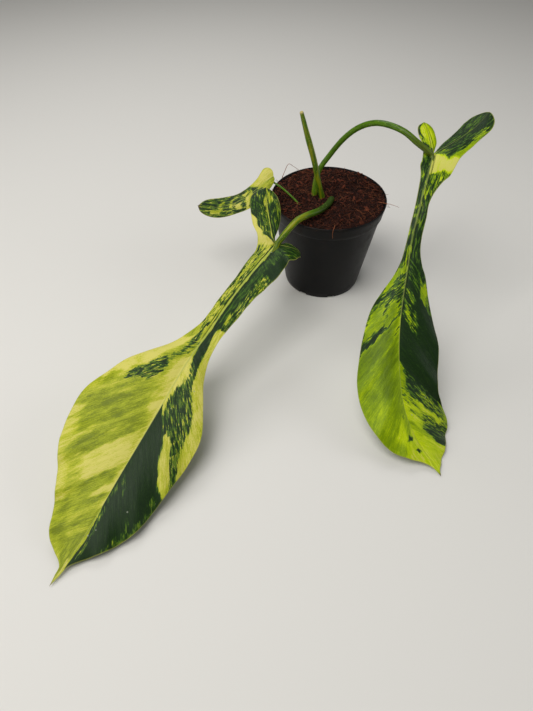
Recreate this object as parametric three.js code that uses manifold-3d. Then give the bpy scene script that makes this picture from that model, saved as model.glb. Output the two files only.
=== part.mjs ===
// A variegated philodendron joepii in a tapered black nursery pot.
// Millimetres, +Z up. The origin is the middle of the pot's underside.
import * as THREE from 'three';
import { mergeVertices } from 'three/addons/utils/BufferGeometryUtils.js';
import Module from 'manifold-3d';

const wasm = await Module();
wasm.setup();

// ---- driving dimensions ----

const GAP = 0.35;              // clearance between pieces that touch
const STALK_GAP = 0.5;         // clearance of a stalk in its hole in the soil
const SEGMENTS = 48;           // facets around the pot and the soil

const POT_HEIGHT = 104;
const POT_RIM_RADIUS = 60;     // outside of the collar at the lip
const POT_BASE_RADIUS = 42.2;
const COLLAR_HEIGHT = 14;
const COLLAR_STEP = 1.7;       // how far the collar stands out of the wall
const LIP_WIDTH = 1.6;
const WALL = 1.4;
const FLOOR = 2;
const DRAIN_HOLES = 6;
const DRAIN_RADIUS = 4.5;
const DRAIN_CIRCLE = 27;       // the drain holes' centres
const EDGE_SLOTS = 8;          // drain slots through the lower edge
const EDGE_SLOT = { width: 8, height: 4.5, depth: 9 };

const SOIL_EDGE = 102.4;       // soil level at the pot's wall
const SOIL_HEAP = 2.6;         // how much higher the middle is
const SOIL_RINGS = 10;
const HOLLOW = { x: -46, y: -6, depth: 3.5, radius: 7 };
const CHIPS = 36;              // bark and coir chips fused to the soil

const BLADE_THICKNESS = 0.9;
const BLADE_STEP = 9;          // spacing of the cross ribs along a vein
const BLADE_STRIPS = 4;        // strips from a vein to the margin
const EAR_STRIPS = 2;
const FAN_STEP = 0.25;         // spacing of side veins that leave the same point
const FAN_RIBS = 6;
const PETIOLE_SIDES = 10;
const RIB_SIDES = 6;
const RIB_STEPS = 22;
const RIB_DEPTH = 0.7;         // the midrib's centre below the blade's top, at its thickest

// ---- colours ----

const POT_BLACK = 0x17181a;
const SOIL_BROWN = 0x3a2620;
const PETIOLE_GREEN = 0x7c8f3a;
const THIN_PETIOLE_GREEN = 0x5f7a34;
const LEAF_LIME = 0xa9b84c;
const LEAF_GREEN = 0x6f8a3c;
const LEAF_DARK = 0x4c6b34;

// ---- petioles: the centre line and its thickness from foot to leaf ----

const PETIOLES = {
  petiole_arching: {
    points: [[-13, -3, 82], [-14.5, -1, 93], [-15, 1.5, 105], [-12, 9, 126], [-1, 13, 143],
      [11, 8, 163], [22, -2, 178], [33, -14, 187.6], [44, -26.5, 191.6], [56, -37.5, 190.6],
      [66.5, -45, 185], [76.7, -48.2, 178.4]],
    feet: 7.4, middle: 5.3, end: 5.2, steps: 36, color: PETIOLE_GREEN,
  },
  petiole_cut: {
    points: [[-2, -4, 82], [-4.5, -4, 94], [-7, -4, 104], [-11.5, -5, 119], [-18.3, -6, 146],
      [-26.8, -7, 173], [-33.5, -8, 195.5]],
    feet: 7.6, middle: 5.6, end: 3.4, steps: 18, color: PETIOLE_GREEN,
  },
  petiole_front: {
    points: [[9, 3, 82], [6, 0, 95], [2.5, -6, 104], [-3, -22, 108.5], [-13.5, -37, 110.6],
      [-26, -46, 111.4], [-34.5, -52, 110.4], [-42.5, -58, 105], [-49, -62.5, 98.6], [-53.4, -65.8, 94]],
    feet: 6.8, middle: 6.4, end: 6, steps: 24, color: PETIOLE_GREEN,
  },
  petiole_small: {
    points: [[-25, -24, 94], [-32, -14.5, 103.5], [-40, -3, 106.5], [-50, 12.5, 107],
      [-57, 21.5, 106.8], [-61, 24.7, 108.4]],
    feet: 2.6, middle: 2.1, end: 2, steps: 12, color: THIN_PETIOLE_GREEN,
  },
};

// ---- leaves ----
// midrib: from the petiole to the tip.
// rib: thickness of the midrib at the petiole; it thins out to the blade's own at the tip.
// roll: how far the blade is turned about its midrib, in degrees, with the right side up.
// right, left: the margin as [distance along the midrib, half-width].
// arms: a lobe beside the petiole with a vein of its own, whose inner margin runs on
// into the blade's and whose outer margin runs back to the petiole. across is the way
// from its vein to its right, where the arm isn't level.
// Right and left are as seen looking from the petiole to the tip.

const LEAVES = {
  leaf_front: {
    midrib: [[-55, -67, 92], [-76, -97, 86], [-97, -128, 77], [-115, -157, 67],
      [-133, -184, 57], [-159, -235, 41], [-184, -283, 25], [-201, -317, 14],
      [-217, -344, 5.5], [-226, -359, 1.8]],
    roll: [[0, 0], [60, 0], [140, 15], [270, 15], [350, 4]],
    rib: 4.6,
    droop: 5,
    crown: 0.045,
    wave: { height: 1.6, length: 46 },
    right: [[14, 15], [37, 13.5], [60, 11], [84, 11.5], [110, 11.5], [136, 21], [156, 38],
      [169, 49], [186, 57], [206, 65], [229, 66], [248, 62.5], [264, 55], [280, 46], [300, 37],
      [316, 28], [327, 18], [335, 8], [342, 2.6], [351, 0]],
    left: [[14, 22], [30, 24], [48, 20.5], [66, 18.5], [94, 14.5], [121, 13], [138, 15.5],
      [158, 22], [177, 31.5], [202, 43], [225, 44], [250, 41], [270, 38], [290, 33.5], [306, 25],
      [320, 15.5], [334, 6], [342, 2.4], [351, 0]],
    arms: {
      right: {
        vein: [[-55, -67, 92], [-58.5, -62.5, 96.5], [-61, -51, 103], [-64, -31, 111.5],
          [-65.5, -9, 120]],
        inner: [[14, 14], [26, 16.5], [40, 17], [53, 16.5], [61, 12.5], [64.5, 6], [65.7, 0]],
        outer: [[0, 0], [7, 2.2], [14, 6], [22, 9.5], [34, 12.5], [46, 12.5], [57, 10], [63, 5], [65.7, 0]],
      },
      left: {
        vein: [[-55, -67, 92], [-47, -69.3, 92.3], [-40, -70.7, 91.2], [-34.3, -71.2, 88],
          [-31.4, -71.8, 84.2], [-31.8, -72.8, 80.5]],
        across: [0, -1, 0],
        inner: [[15, 18], [18.5, 15.5], [22, 12], [25, 8], [28, 3.8], [30, 0]],
        outer: [[0, 0], [4, 3.4], [8, 6.4], [13.5, 6.2], [20, 4.6], [26, 2.6], [30, 0]],
      },
    },
    color: LEAF_LIME,
  },
  leaf_arching: {
    midrib: [[82, -48, 176], [75, -70, 168], [69, -86, 158], [65, -99, 147], [61, -111, 134],
      [58, -127, 115], [55, -143, 98], [52, -162, 80], [51, -184, 61], [52, -203, 46],
      [55, -220, 33], [61, -234, 22], [69, -246, 12.5], [78, -257, 5.5], [84, -268, 1.8]],
    roll: [[0, 0], [295, 0]],
    rib: 4,
    droop: 10,
    crown: 0.05,
    wave: { height: 1.5, length: 40 },
    right: [[7, 8.5], [13, 9], [25, 6.5], [38, 5], [55, 4.2], [72, 4.2], [88, 4.6], [101, 6.5],
      [115, 11], [130, 19], [145, 26], [166, 31], [187, 34.5], [205, 37.5], [217, 37.5],
      [230, 35], [244, 31], [257, 25], [268, 15.5], [278, 6.5], [286, 2.2], [295, 0]],
    left: [[20, 18], [28, 13], [39, 9], [50, 7.2], [62, 7.6], [80, 8], [93, 9.3], [104, 12.5],
      [112, 16.5], [131, 22.5], [152, 30], [174, 36.5], [200, 37], [218, 36], [238, 41],
      [255, 44], [267, 41], [275, 32], [280, 20], [286, 8], [290, 2.8], [295, 0]],
    arms: {
      right: {
        vein: [[82, -48, 176], [81, -38, 182], [79, -26, 187], [76.5, -17, 190]],
        inner: [[6, 8], [13, 8], [20, 8.8], [27, 8.6], [32, 6], [34.5, 0]],
        outer: [[0, 0], [6, 3], [12, 5.4], [20, 6.2], [27, 5.8], [32, 3.6], [34.5, 0]],
      },
      left: {
        vein: [[82, -48, 176], [98, -41, 182], [118, -30, 190], [133.5, -17.5, 200.5]],
        across: [0.5, -0.85, 0.08],
        inner: [[14, 18.5], [22, 15.8], [32, 14.2], [43, 14], [53, 12.4], [60, 8], [63.4, 0]],
        outer: [[0, 0], [6, 3.5], [16, 8.5], [27, 11.5], [38, 12.8], [49, 15.4], [57, 14.6], [62, 8.6], [63.4, 0]],
      },
    },
    color: LEAF_GREEN,
  },
  leaf_small: {
    midrib: [[-57.5, 24, 113], [-65, 20, 109.5], [-76, 16, 102], [-87, 12, 95], [-102, 8, 89.5],
      [-120, 4, 88], [-138.5, 3, 90.5]],
    roll: [[0, 35], [90, 35]],
    rib: 1.8,
    droop: 4,
    crown: 0.06,
    wave: { height: 0.7, length: 24 },
    right: [[0, 0], [-2, 3.4], [-2.4, 7.4], [-0.4, 11], [4, 12.6], [10, 10.6], [16, 8.6], [28, 7.4],
      [42, 7.8], [58, 9.4], [73, 10], [84, 6.4], [90, 0]],
    left: [[0, 0], [0.6, 3], [4, 6], [11, 9], [23, 11.4], [36, 12.4], [50, 11.6], [62, 11.8],
      [72, 11.4], [80, 9.6], [87, 6], [90, 0]],
    arms: {},
    color: LEAF_DARK,
  },
};

// ---- solids ----

function solidOf(geometry) {
  const g = geometry.clone();
  g.deleteAttribute('normal');
  g.deleteAttribute('uv');
  const merged = mergeVertices(g, 1e-4);
  return new wasm.Manifold(new wasm.Mesh({
    numProp: 3,
    vertProperties: new Float32Array(merged.attributes.position.array),
    triVerts: new Uint32Array(merged.index.array),
  }));
}

function geometryOf(solid) {
  const mesh = solid.getMesh();
  const g = new THREE.BufferGeometry();
  g.setAttribute('position', new THREE.BufferAttribute(new Float32Array(mesh.vertProperties), 3));
  g.setIndex(new THREE.BufferAttribute(new Uint32Array(mesh.triVerts), 1));
  g.computeVertexNormals();
  return g;
}

function geometryFrom(points, triangles) {
  const g = new THREE.BufferGeometry();
  g.setFromPoints(points);
  g.setIndex(triangles);
  return g;
}

const vectors = (rows) => rows.map((row) => new THREE.Vector3(...row));
const radians = THREE.MathUtils.degToRad;

// Value at x on the line through [x, y] rows.
function interpolate(rows, x) {
  if (x <= rows[0][0]) return rows[0][1];
  for (let i = 1; i < rows.length; i += 1) {
    const [x0, y0] = rows[i - 1];
    const [x1, y1] = rows[i];
    if (x <= x1) return y0 + (y1 - y0) * (x - x0) / (x1 - x0);
  }
  return rows[rows.length - 1][1];
}

// Seeded random numbers from 0 to 1.
function seeded(seed) {
  let state = seed;
  return () => {
    state = (state * 1664525 + 1013904223) % 4294967296;
    return state / 4294967296;
  };
}

// ---- petioles ----

// A round rod along a smooth line, with rounded ends. thickness is given at fractions of
// its length, and extra makes it thicker all over.
function rodGeometry(points, thickness, steps, sides, extra = 0) {
  const curve = new THREE.CatmullRomCurve3(vectors(points));
  const frames = curve.computeFrenetFrames(steps, false);
  const verts = [];
  const tris = [];
  for (let i = 0; i <= steps; i += 1) {
    const centre = curve.getPointAt(i / steps);
    let radius = interpolate(thickness, i / steps) / 2;
    if (i === 0 || i === steps) radius *= 0.72;
    radius += extra;
    for (let k = 0; k < sides; k += 1) {
      const a = 2 * Math.PI * k / sides;
      verts.push(centre.clone()
        .addScaledVector(frames.normals[i], radius * Math.cos(a))
        .addScaledVector(frames.binormals[i], radius * Math.sin(a)));
    }
  }
  for (let i = 0; i < steps; i += 1) {
    for (let k = 0; k < sides; k += 1) {
      const a = i * sides + k;
      const b = i * sides + (k + 1) % sides;
      tris.push(a, b, b + sides, a, b + sides, a + sides);
    }
  }
  for (const [ring, along, turn] of [[0, -1, 1], [steps, 1, -1]]) {
    const middlePoint = curve.getPointAt(ring / steps)
      .addScaledVector(curve.getTangentAt(ring / steps), along * (0.35 + extra));
    const hub = verts.push(middlePoint) - 1;
    for (let k = 0; k < sides; k += 1) {
      const a = ring * sides + k;
      const b = ring * sides + (k + 1) % sides;
      tris.push(hub, turn > 0 ? b : a, turn > 0 ? a : b);
    }
  }
  return geometryFrom(verts, tris);
}

function petioleGeometry({ points, feet, middle, end, steps }, extra = 0) {
  const thickness = [[0, feet], [0.25, middle], [0.75, middle], [1, end]];
  return rodGeometry(points, thickness, steps, PETIOLE_SIDES, extra);
}

// ---- leaves ----

// A vein with a frame at every distance along it: t along, b to the right, n up.
class Vein {
  constructor(points, { roll = [[0, 0]], across = null }) {
    this.curve = new THREE.CatmullRomCurve3(vectors(points));
    this.curve.arcLengthDivisions = 400;
    this.length = this.curve.getLength();
    this.roll = roll;
    this.across = across && new THREE.Vector3(...across);
  }

  // Before its start the vein runs on straight.
  at(along) {
    const point = this.curve.getPointAt(THREE.MathUtils.clamp(along / this.length, 0, 1));
    return along < 0 ? point.addScaledVector(this.curve.getTangentAt(0), along) : point;
  }

  frame(along) {
    const t = this.at(along + 4).sub(this.at(along - 4)).normalize();
    const level = this.across
      ? this.across.clone().addScaledVector(t, -this.across.dot(t)).normalize()
      : t.clone().cross(new THREE.Vector3(0, 0, 1)).normalize();
    const upright = level.clone().cross(t);
    const roll = radians(interpolate(this.roll, along));
    return {
      t,
      b: level.clone().multiplyScalar(Math.cos(roll)).addScaledVector(upright, Math.sin(roll)),
      n: upright.clone().multiplyScalar(Math.cos(roll)).addScaledVector(level, -Math.sin(roll)),
    };
  }

  // The margin point beside the vein. side is 1 on the right and -1 on the left.
  margin(along, halfWidth, side, droop) {
    const { b, n } = this.frame(along);
    return this.at(along)
      .addScaledVector(b, side * halfWidth * Math.cos(droop))
      .addScaledVector(n, -halfWidth * Math.sin(droop));
  }
}

// Where a side vein that ends at this margin point leaves its vein.
function rootOf(along, halfWidth, length) {
  return THREE.MathUtils.clamp(along - 0.6 * Math.abs(halfWidth), 0, length);
}

// The blade on one side of a vein path, as rows of points from the path to the margin.
// roots are distances on the path, below zero on an arm and above it on the midrib.
function sheet(path, stations, roots, strips, leaf) {
  const margin = new THREE.CatmullRomCurve3(stations.map((s) => s.point));
  const steps = stations.map((s, i) => [s.root, i / (stations.length - 1)]);
  for (let i = 1; i < steps.length; i += 1) {
    steps[i][0] = Math.max(steps[i][0], steps[i - 1][0] + FAN_STEP);
  }
  steps[0][0] = roots[0];
  steps[steps.length - 1][0] = roots[roots.length - 1];
  return roots.map((root) => {
    const { point, n } = path(root);
    const rim = margin.getPoint(THREE.MathUtils.clamp(interpolate(steps, root), 0, 1));
    const width = point.distanceTo(rim);
    return Array.from({ length: strips + 1 }, (_, j) => {
      const t = j / strips;
      const crown = leaf.crown * width * 4 * t * (1 - t);
      const wave = leaf.wave.height * Math.min(1, width / 30) * t * t
        * Math.sin(2 * Math.PI * root / leaf.wave.length);
      return point.clone().lerp(rim, t).addScaledVector(n, crown + wave);
    });
  });
}

// Distances from first to last, in equal steps of about BLADE_STEP.
function spaced(first, last, step) {
  const count = Math.max(2, Math.round((last - first) / step));
  return Array.from({ length: count + 1 }, (_, i) => first + (last - first) * i / count);
}

// Gives an open sheet of triangles a thickness below it.
function thicken(triangles, thickness) {
  const points = [];
  const index = new Map();
  const keyOf = (p) => [p.x, p.y, p.z].map((v) => Math.round(v * 1e4)).join(',');
  const idOf = (p) => {
    const key = keyOf(p);
    if (!index.has(key)) index.set(key, points.push(p) - 1);
    return index.get(key);
  };
  const tops = triangles.map((tri) => tri.map(idOf))
    .filter(([a, b, c]) => a !== b && b !== c && c !== a);
  const normals = points.map(() => new THREE.Vector3());
  for (const [a, b, c] of tops) {
    const n = points[b].clone().sub(points[a]).cross(points[c].clone().sub(points[a]));
    for (const id of [a, b, c]) normals[id].add(n);
  }
  const count = points.length;
  for (let i = 0; i < count; i += 1) {
    points.push(points[i].clone().addScaledVector(normals[i].normalize(), -thickness));
  }
  const edges = new Set(tops.flatMap(([a, b, c]) => [`${a},${b}`, `${b},${c}`, `${c},${a}`]));
  const tris = [];
  for (const [a, b, c] of tops) {
    tris.push(a, b, c, a + count, c + count, b + count);
    for (const [p, q] of [[a, b], [b, c], [c, a]]) {
      if (!edges.has(`${q},${p}`)) tris.push(q, p, p + count, q, p + count, q + count);
    }
  }
  return geometryFrom(points, tris);
}

function leafGeometry(leaf) {
  const midrib = new Vein(leaf.midrib, leaf);
  const droop = radians(leaf.droop);
  const triangles = [];
  const addSheet = (rows, side) => {
    for (let i = 0; i + 1 < rows.length; i += 1) {
      for (let j = 0; j + 1 < rows[i].length; j += 1) {
        const [a, b] = [rows[i][j], rows[i][j + 1]];
        const [c, d] = [rows[i + 1][j], rows[i + 1][j + 1]];
        triangles.push(...(side > 0 ? [[a, b, d], [a, d, c]] : [[a, d, b], [a, c, d]]));
      }
    }
  };
  // A leaf without arms starts with a fan of side veins around its base.
  const fan = Array.from({ length: leaf.arms.right ? 0 : FAN_RIBS }, (_, i) => i * FAN_STEP);
  const blade = [...fan, ...spaced(fan.length * FAN_STEP, midrib.length, BLADE_STEP)];
  for (const [name, side] of [['right', 1], ['left', -1]]) {
    const arm = leaf.arms[name];
    const stations = leaf[name].map(([along, half]) => ({
      root: rootOf(along, half, midrib.length),
      point: midrib.margin(Math.min(along, midrib.length), half, side, droop),
    }));
    let roots = blade;
    let vein = null;
    if (arm) {
      vein = new Vein(arm.vein, arm);
      // Looking from the petiole, an arm's inner margin is on the side of the blade.
      const inner = arm.inner.map(([along, half]) => ({
        root: -rootOf(along, half, vein.length),
        point: vein.margin(Math.min(along, vein.length), half, -side, droop),
      })).reverse();
      stations.unshift(...inner);
      roots = [...spaced(-vein.length, 0, BLADE_STEP * 0.8).slice(0, -1), ...blade];
    }
    const path = (root) => (root < 0
      ? { point: vein.at(-root), n: vein.frame(-root).n }
      : { point: midrib.at(root), n: midrib.frame(root).n });
    addSheet(sheet(path, stations, roots, BLADE_STRIPS, leaf), side);
    if (arm) {
      const outer = arm.outer.map(([along, half]) => ({
        root: rootOf(along, half, vein.length),
        point: vein.margin(Math.min(along, vein.length), half, side, droop),
      }));
      const back = (root) => ({ point: vein.at(root), n: vein.frame(root).n });
      const armRoots = spaced(-vein.length, 0, BLADE_STEP * 0.8).map((r) => -r).reverse();
      addSheet(sheet(back, outer, armRoots, EAR_STRIPS, leaf), side);
    }
  }
  const ribLine = leaf.midrib.map(([x, y, z], i) => {
    const depth = RIB_DEPTH * (1 - i / leaf.midrib.length);
    return [x, y, z - depth - BLADE_THICKNESS / 2];
  });
  const rib = rodGeometry(ribLine, [[0, leaf.rib], [1, BLADE_THICKNESS]], RIB_STEPS, RIB_SIDES);
  return geometryOf(solidOf(thicken(triangles, BLADE_THICKNESS)).add(solidOf(rib)));
}

// ---- pot ----

const innerRadius = (z) => {
  const top = POT_RIM_RADIUS - LIP_WIDTH;
  const bottom = POT_BASE_RADIUS - WALL;
  return bottom + (top - bottom) * (z - FLOOR) / (POT_HEIGHT - FLOOR);
};

function potSolid() {
  const collarFoot = POT_HEIGHT - COLLAR_HEIGHT;
  const wallTop = POT_BASE_RADIUS
    + (POT_RIM_RADIUS - COLLAR_STEP - POT_BASE_RADIUS) * collarFoot / POT_HEIGHT;
  const profile = [
    [0, 0], [POT_BASE_RADIUS - 1, 0], [POT_BASE_RADIUS, 1],
    [wallTop, collarFoot], [wallTop + COLLAR_STEP, collarFoot + 0.8],
    [POT_RIM_RADIUS, POT_HEIGHT - 0.6], [POT_RIM_RADIUS - 0.5, POT_HEIGHT],
    [POT_RIM_RADIUS - LIP_WIDTH, POT_HEIGHT], [innerRadius(FLOOR), FLOOR], [0, FLOOR],
  ].map(([r, z]) => new THREE.Vector2(r, z));
  const body = new THREE.LatheGeometry(profile, SEGMENTS).rotateX(Math.PI / 2);
  let pot = solidOf(body);
  for (let i = 0; i < DRAIN_HOLES; i += 1) {
    const a = 2 * Math.PI * (i + 0.5) / DRAIN_HOLES;
    const hole = new THREE.CylinderGeometry(DRAIN_RADIUS, DRAIN_RADIUS, 3 * FLOOR, 16)
      .rotateX(Math.PI / 2)
      .translate(DRAIN_CIRCLE * Math.cos(a), DRAIN_CIRCLE * Math.sin(a), FLOOR / 2);
    pot = pot.subtract(solidOf(hole));
  }
  for (let i = 0; i < EDGE_SLOTS; i += 1) {
    const slot = new THREE.BoxGeometry(EDGE_SLOT.depth, EDGE_SLOT.width, EDGE_SLOT.height)
      .translate(POT_BASE_RADIUS, 0, EDGE_SLOT.height / 2 - 1)
      .rotateZ(2 * Math.PI * (i + 0.25) / EDGE_SLOTS);
    pot = pot.subtract(solidOf(slot));
  }
  return pot;
}

// ---- soil ----

function soilLevel(x, y) {
  const edge = innerRadius(SOIL_EDGE);
  const heap = SOIL_HEAP * (1 - (x * x + y * y) / (edge * edge));
  const lumps = 0.7 * Math.sin(0.21 * x + 1.3) * Math.cos(0.17 * y)
    + 0.5 * Math.sin(0.37 * x - 0.29 * y) + 0.35 * Math.sin(0.61 * x + 0.47 * y + 2);
  const reach = Math.hypot(x - HOLLOW.x, y - HOLLOW.y) / HOLLOW.radius;
  return SOIL_EDGE + heap + lumps - HOLLOW.depth * Math.exp(-reach * reach);
}

function soilGeometry() {
  const bottomLevel = FLOOR + GAP;
  const verts = [];
  const tris = [];
  const ringAt = (radius, level) => {
    for (let k = 0; k < SEGMENTS; k += 1) {
      const a = 2 * Math.PI * k / SEGMENTS;
      const [x, y] = [radius * Math.cos(a), radius * Math.sin(a)];
      verts.push(new THREE.Vector3(x, y, level ?? soilLevel(x, y)));
    }
  };
  const edge = innerRadius(SOIL_EDGE - 1.5) - GAP;
  ringAt(innerRadius(bottomLevel) - GAP, bottomLevel);
  for (let i = SOIL_RINGS; i > 0; i -= 1) ringAt(edge * i / SOIL_RINGS);
  for (let i = 0; i < SOIL_RINGS; i += 1) {
    for (let k = 0; k < SEGMENTS; k += 1) {
      const a = i * SEGMENTS + k;
      const b = i * SEGMENTS + (k + 1) % SEGMENTS;
      tris.push(a, b, b + SEGMENTS, a, b + SEGMENTS, a + SEGMENTS);
    }
  }
  const bottom = verts.push(new THREE.Vector3(0, 0, bottomLevel)) - 1;
  const top = verts.push(new THREE.Vector3(0, 0, soilLevel(0, 0))) - 1;
  const last = SOIL_RINGS * SEGMENTS;
  for (let k = 0; k < SEGMENTS; k += 1) {
    const next = (k + 1) % SEGMENTS;
    tris.push(bottom, next, k, top, last + k, last + next);
  }
  return geometryFrom(verts, tris);
}

// A small flake with uneven corners, half sunk in the soil.
function chipGeometry(random) {
  const size = [2.5 + 4 * random(), 1.6 + 2 * random(), 1.6 + 1.4 * random()];
  const chip = new THREE.BoxGeometry(...size);
  chip.rotateX(0.7 * (random() - 0.5)).rotateY(0.7 * (random() - 0.5));
  chip.rotateZ(Math.PI * random());
  const radius = 47 * Math.sqrt(random());
  const a = 2 * Math.PI * random();
  const [x, y] = [radius * Math.cos(a), radius * Math.sin(a)];
  return chip.translate(x, y, soilLevel(x, y) + 0.3);
}

function soilSolid() {
  const random = seeded(11);
  let soil = solidOf(soilGeometry());
  for (let i = 0; i < CHIPS; i += 1) soil = soil.add(solidOf(chipGeometry(random)));
  for (const petiole of Object.values(PETIOLES)) {
    soil = soil.subtract(solidOf(petioleGeometry(petiole, STALK_GAP)));
  }
  return soil;
}

// ---- the plant in its pot ----

const plant = new THREE.Group();

function addPiece(name, geometry, color, roughness, metalness = 0) {
  const material = new THREE.MeshStandardMaterial({ color, roughness, metalness });
  const mesh = new THREE.Mesh(geometry, material);
  mesh.name = name;
  plant.add(mesh);
}

addPiece('pot', geometryOf(potSolid()), POT_BLACK, 0.5);
addPiece('soil', geometryOf(soilSolid()), SOIL_BROWN, 0.95);
for (const [name, petiole] of Object.entries(PETIOLES)) {
  addPiece(name, petioleGeometry(petiole), petiole.color, 0.5);
}
for (const [name, leaf] of Object.entries(LEAVES)) {
  addPiece(name, leafGeometry(leaf), leaf.color, 0.45);
}

export default plant;
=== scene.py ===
"""Looks of a variegated philodendron joepii in a black nursery pot.

Lengths in the tables are millimetres, in the frame's axes: +Z up, the origin under the middle of the pot.
"""

import math
from functools import partial

import bmesh
import bpy
import numpy as np
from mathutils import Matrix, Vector, noise


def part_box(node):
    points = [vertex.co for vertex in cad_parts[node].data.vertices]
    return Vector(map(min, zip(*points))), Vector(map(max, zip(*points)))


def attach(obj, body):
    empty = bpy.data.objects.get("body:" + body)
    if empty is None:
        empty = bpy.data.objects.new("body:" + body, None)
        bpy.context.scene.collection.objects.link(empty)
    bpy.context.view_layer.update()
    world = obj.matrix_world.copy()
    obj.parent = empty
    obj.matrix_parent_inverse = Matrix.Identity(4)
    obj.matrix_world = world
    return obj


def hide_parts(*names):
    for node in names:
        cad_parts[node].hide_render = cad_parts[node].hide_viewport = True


bl_info = {
    "name": "Potted variegated philodendron",
    "version": (1, 0, 0),
    "blender": (4, 5, 0),
    "location": "View3D > Sidebar > Joepii",
    "description": "Makes the pot, the soil, the petioles and the three variegated leaves",
    "category": "Add Mesh",
}

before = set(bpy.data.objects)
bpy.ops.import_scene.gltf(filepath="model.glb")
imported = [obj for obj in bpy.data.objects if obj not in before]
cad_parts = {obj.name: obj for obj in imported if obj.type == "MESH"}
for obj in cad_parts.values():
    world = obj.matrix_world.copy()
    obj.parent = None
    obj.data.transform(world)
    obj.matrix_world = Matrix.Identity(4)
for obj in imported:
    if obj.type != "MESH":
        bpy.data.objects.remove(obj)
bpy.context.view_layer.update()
MM = 0.001
POT_HEIGHT, RIM_RADIUS, BASE_RADIUS = 104, 60, 42.2

# ---- petioles ----
# points: the centre line, from below the soil to the leaf. onward: how it runs on under the blade.
# thickness: at the foot, middle and leaf end. brown: how brown the leaf end is. callus: how dry the
# cut end is. lime: how strong the lime stripes are (below zero, how strongly painted shade darkens
# the skin) up to the share lime reach of the length, and lime end how strong they are beyond it.

PETIOLES = {
    "petiole_arching": {
        "points": [(-13, -3, 82), (-14.5, -1, 93), (-15, 1.5, 105), (-12, 9, 126), (-1, 13, 143),
                   (11, 8, 163), (22, -2, 178), (33, -14, 187.6), (44, -26.5, 191.6), (56, -37.5, 190.6),
                   (66.5, -45, 185), (76.7, -48.2, 178.4)],
        "onward": [(80.3, -49.3, 175.6), (81, -53, 172.8), (79.4, -58.5, 170.6)],
        "thickness": (7.4, 5.3, 5.2), "brown": 0.32, "lime": 0.7, "lime reach": 0.28,
    },
    "petiole_cut": {
        "points": [(-2, -4, 82), (-4.5, -4, 94), (-7, -4, 104), (-11.5, -5, 119), (-18.3, -6, 146),
                   (-26.8, -7, 173), (-33.5, -8, 195.5)],
        "onward": [], "thickness": (7.6, 5.6, 3.4), "callus": 1.0, "lime": 0.75, "lime reach": 1.3,
    },
    "petiole_front": {
        "points": [(9, 3, 82), (6, 0, 95), (2.5, -6, 104), (-3, -22, 108.5), (-13.5, -37, 110.6),
                   (-26, -46, 111.4), (-34.5, -52, 110.4), (-42.5, -58, 105), (-49, -62.5, 98.6),
                   (-53.4, -65.8, 94)],
        "onward": [(-55, -68.6, 91), (-58, -73, 89.2), (-62, -78.5, 88)],
        # The front petiole's lower part, near the soil, is darkened by painted shade; lime stripes follow
        # beyond it.
        "thickness": (6.8, 6.4, 6.0), "brown": 0.15, "lime": -0.9, "lime reach": 0.66, "lime end": 0.85,
    },
    "petiole_small": {
        "points": [(-25, -24, 94), (-32, -14.5, 103.5), (-40, -3, 106.5), (-50, 12.5, 107),
                   (-57, 21.5, 106.8), (-61, 24.7, 108.4)],
        "onward": [(-60.6, 24.2, 110.4), (-58.4, 23.8, 112.4)],
        "thickness": (2.6, 2.1, 2.0),
    },
}

# ---- leaves ----
# midrib: from the petiole to the tip. roll: turn of the blade about it in degrees, right side up.
# right, left: the margin as (distance along the midrib, half-width). Right and left are as seen
# looking from the petiole to the tip. lead: how far a side vein runs towards the tip for each
# millimetre outwards. arms: the lobes beside the petiole, each with a vein of its own.
# patches: variegation as (tone, outline) for each sheet, painted in this order. An outline's points
# are (root, share): where a side vein leaves the midrib, below zero on an arm's vein, and how far it
# has come towards the margin. Four numbers are a plain patch's first and last root and share, and
# two are its first and last root where it is as wide as the sheet. shades: places and colours of the
# light tissue. veil, grooves and rib_line: see leaf_blade.
# Of these, grooves is the strength of the painted shade in the trough beside the waist's midrib.

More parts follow.
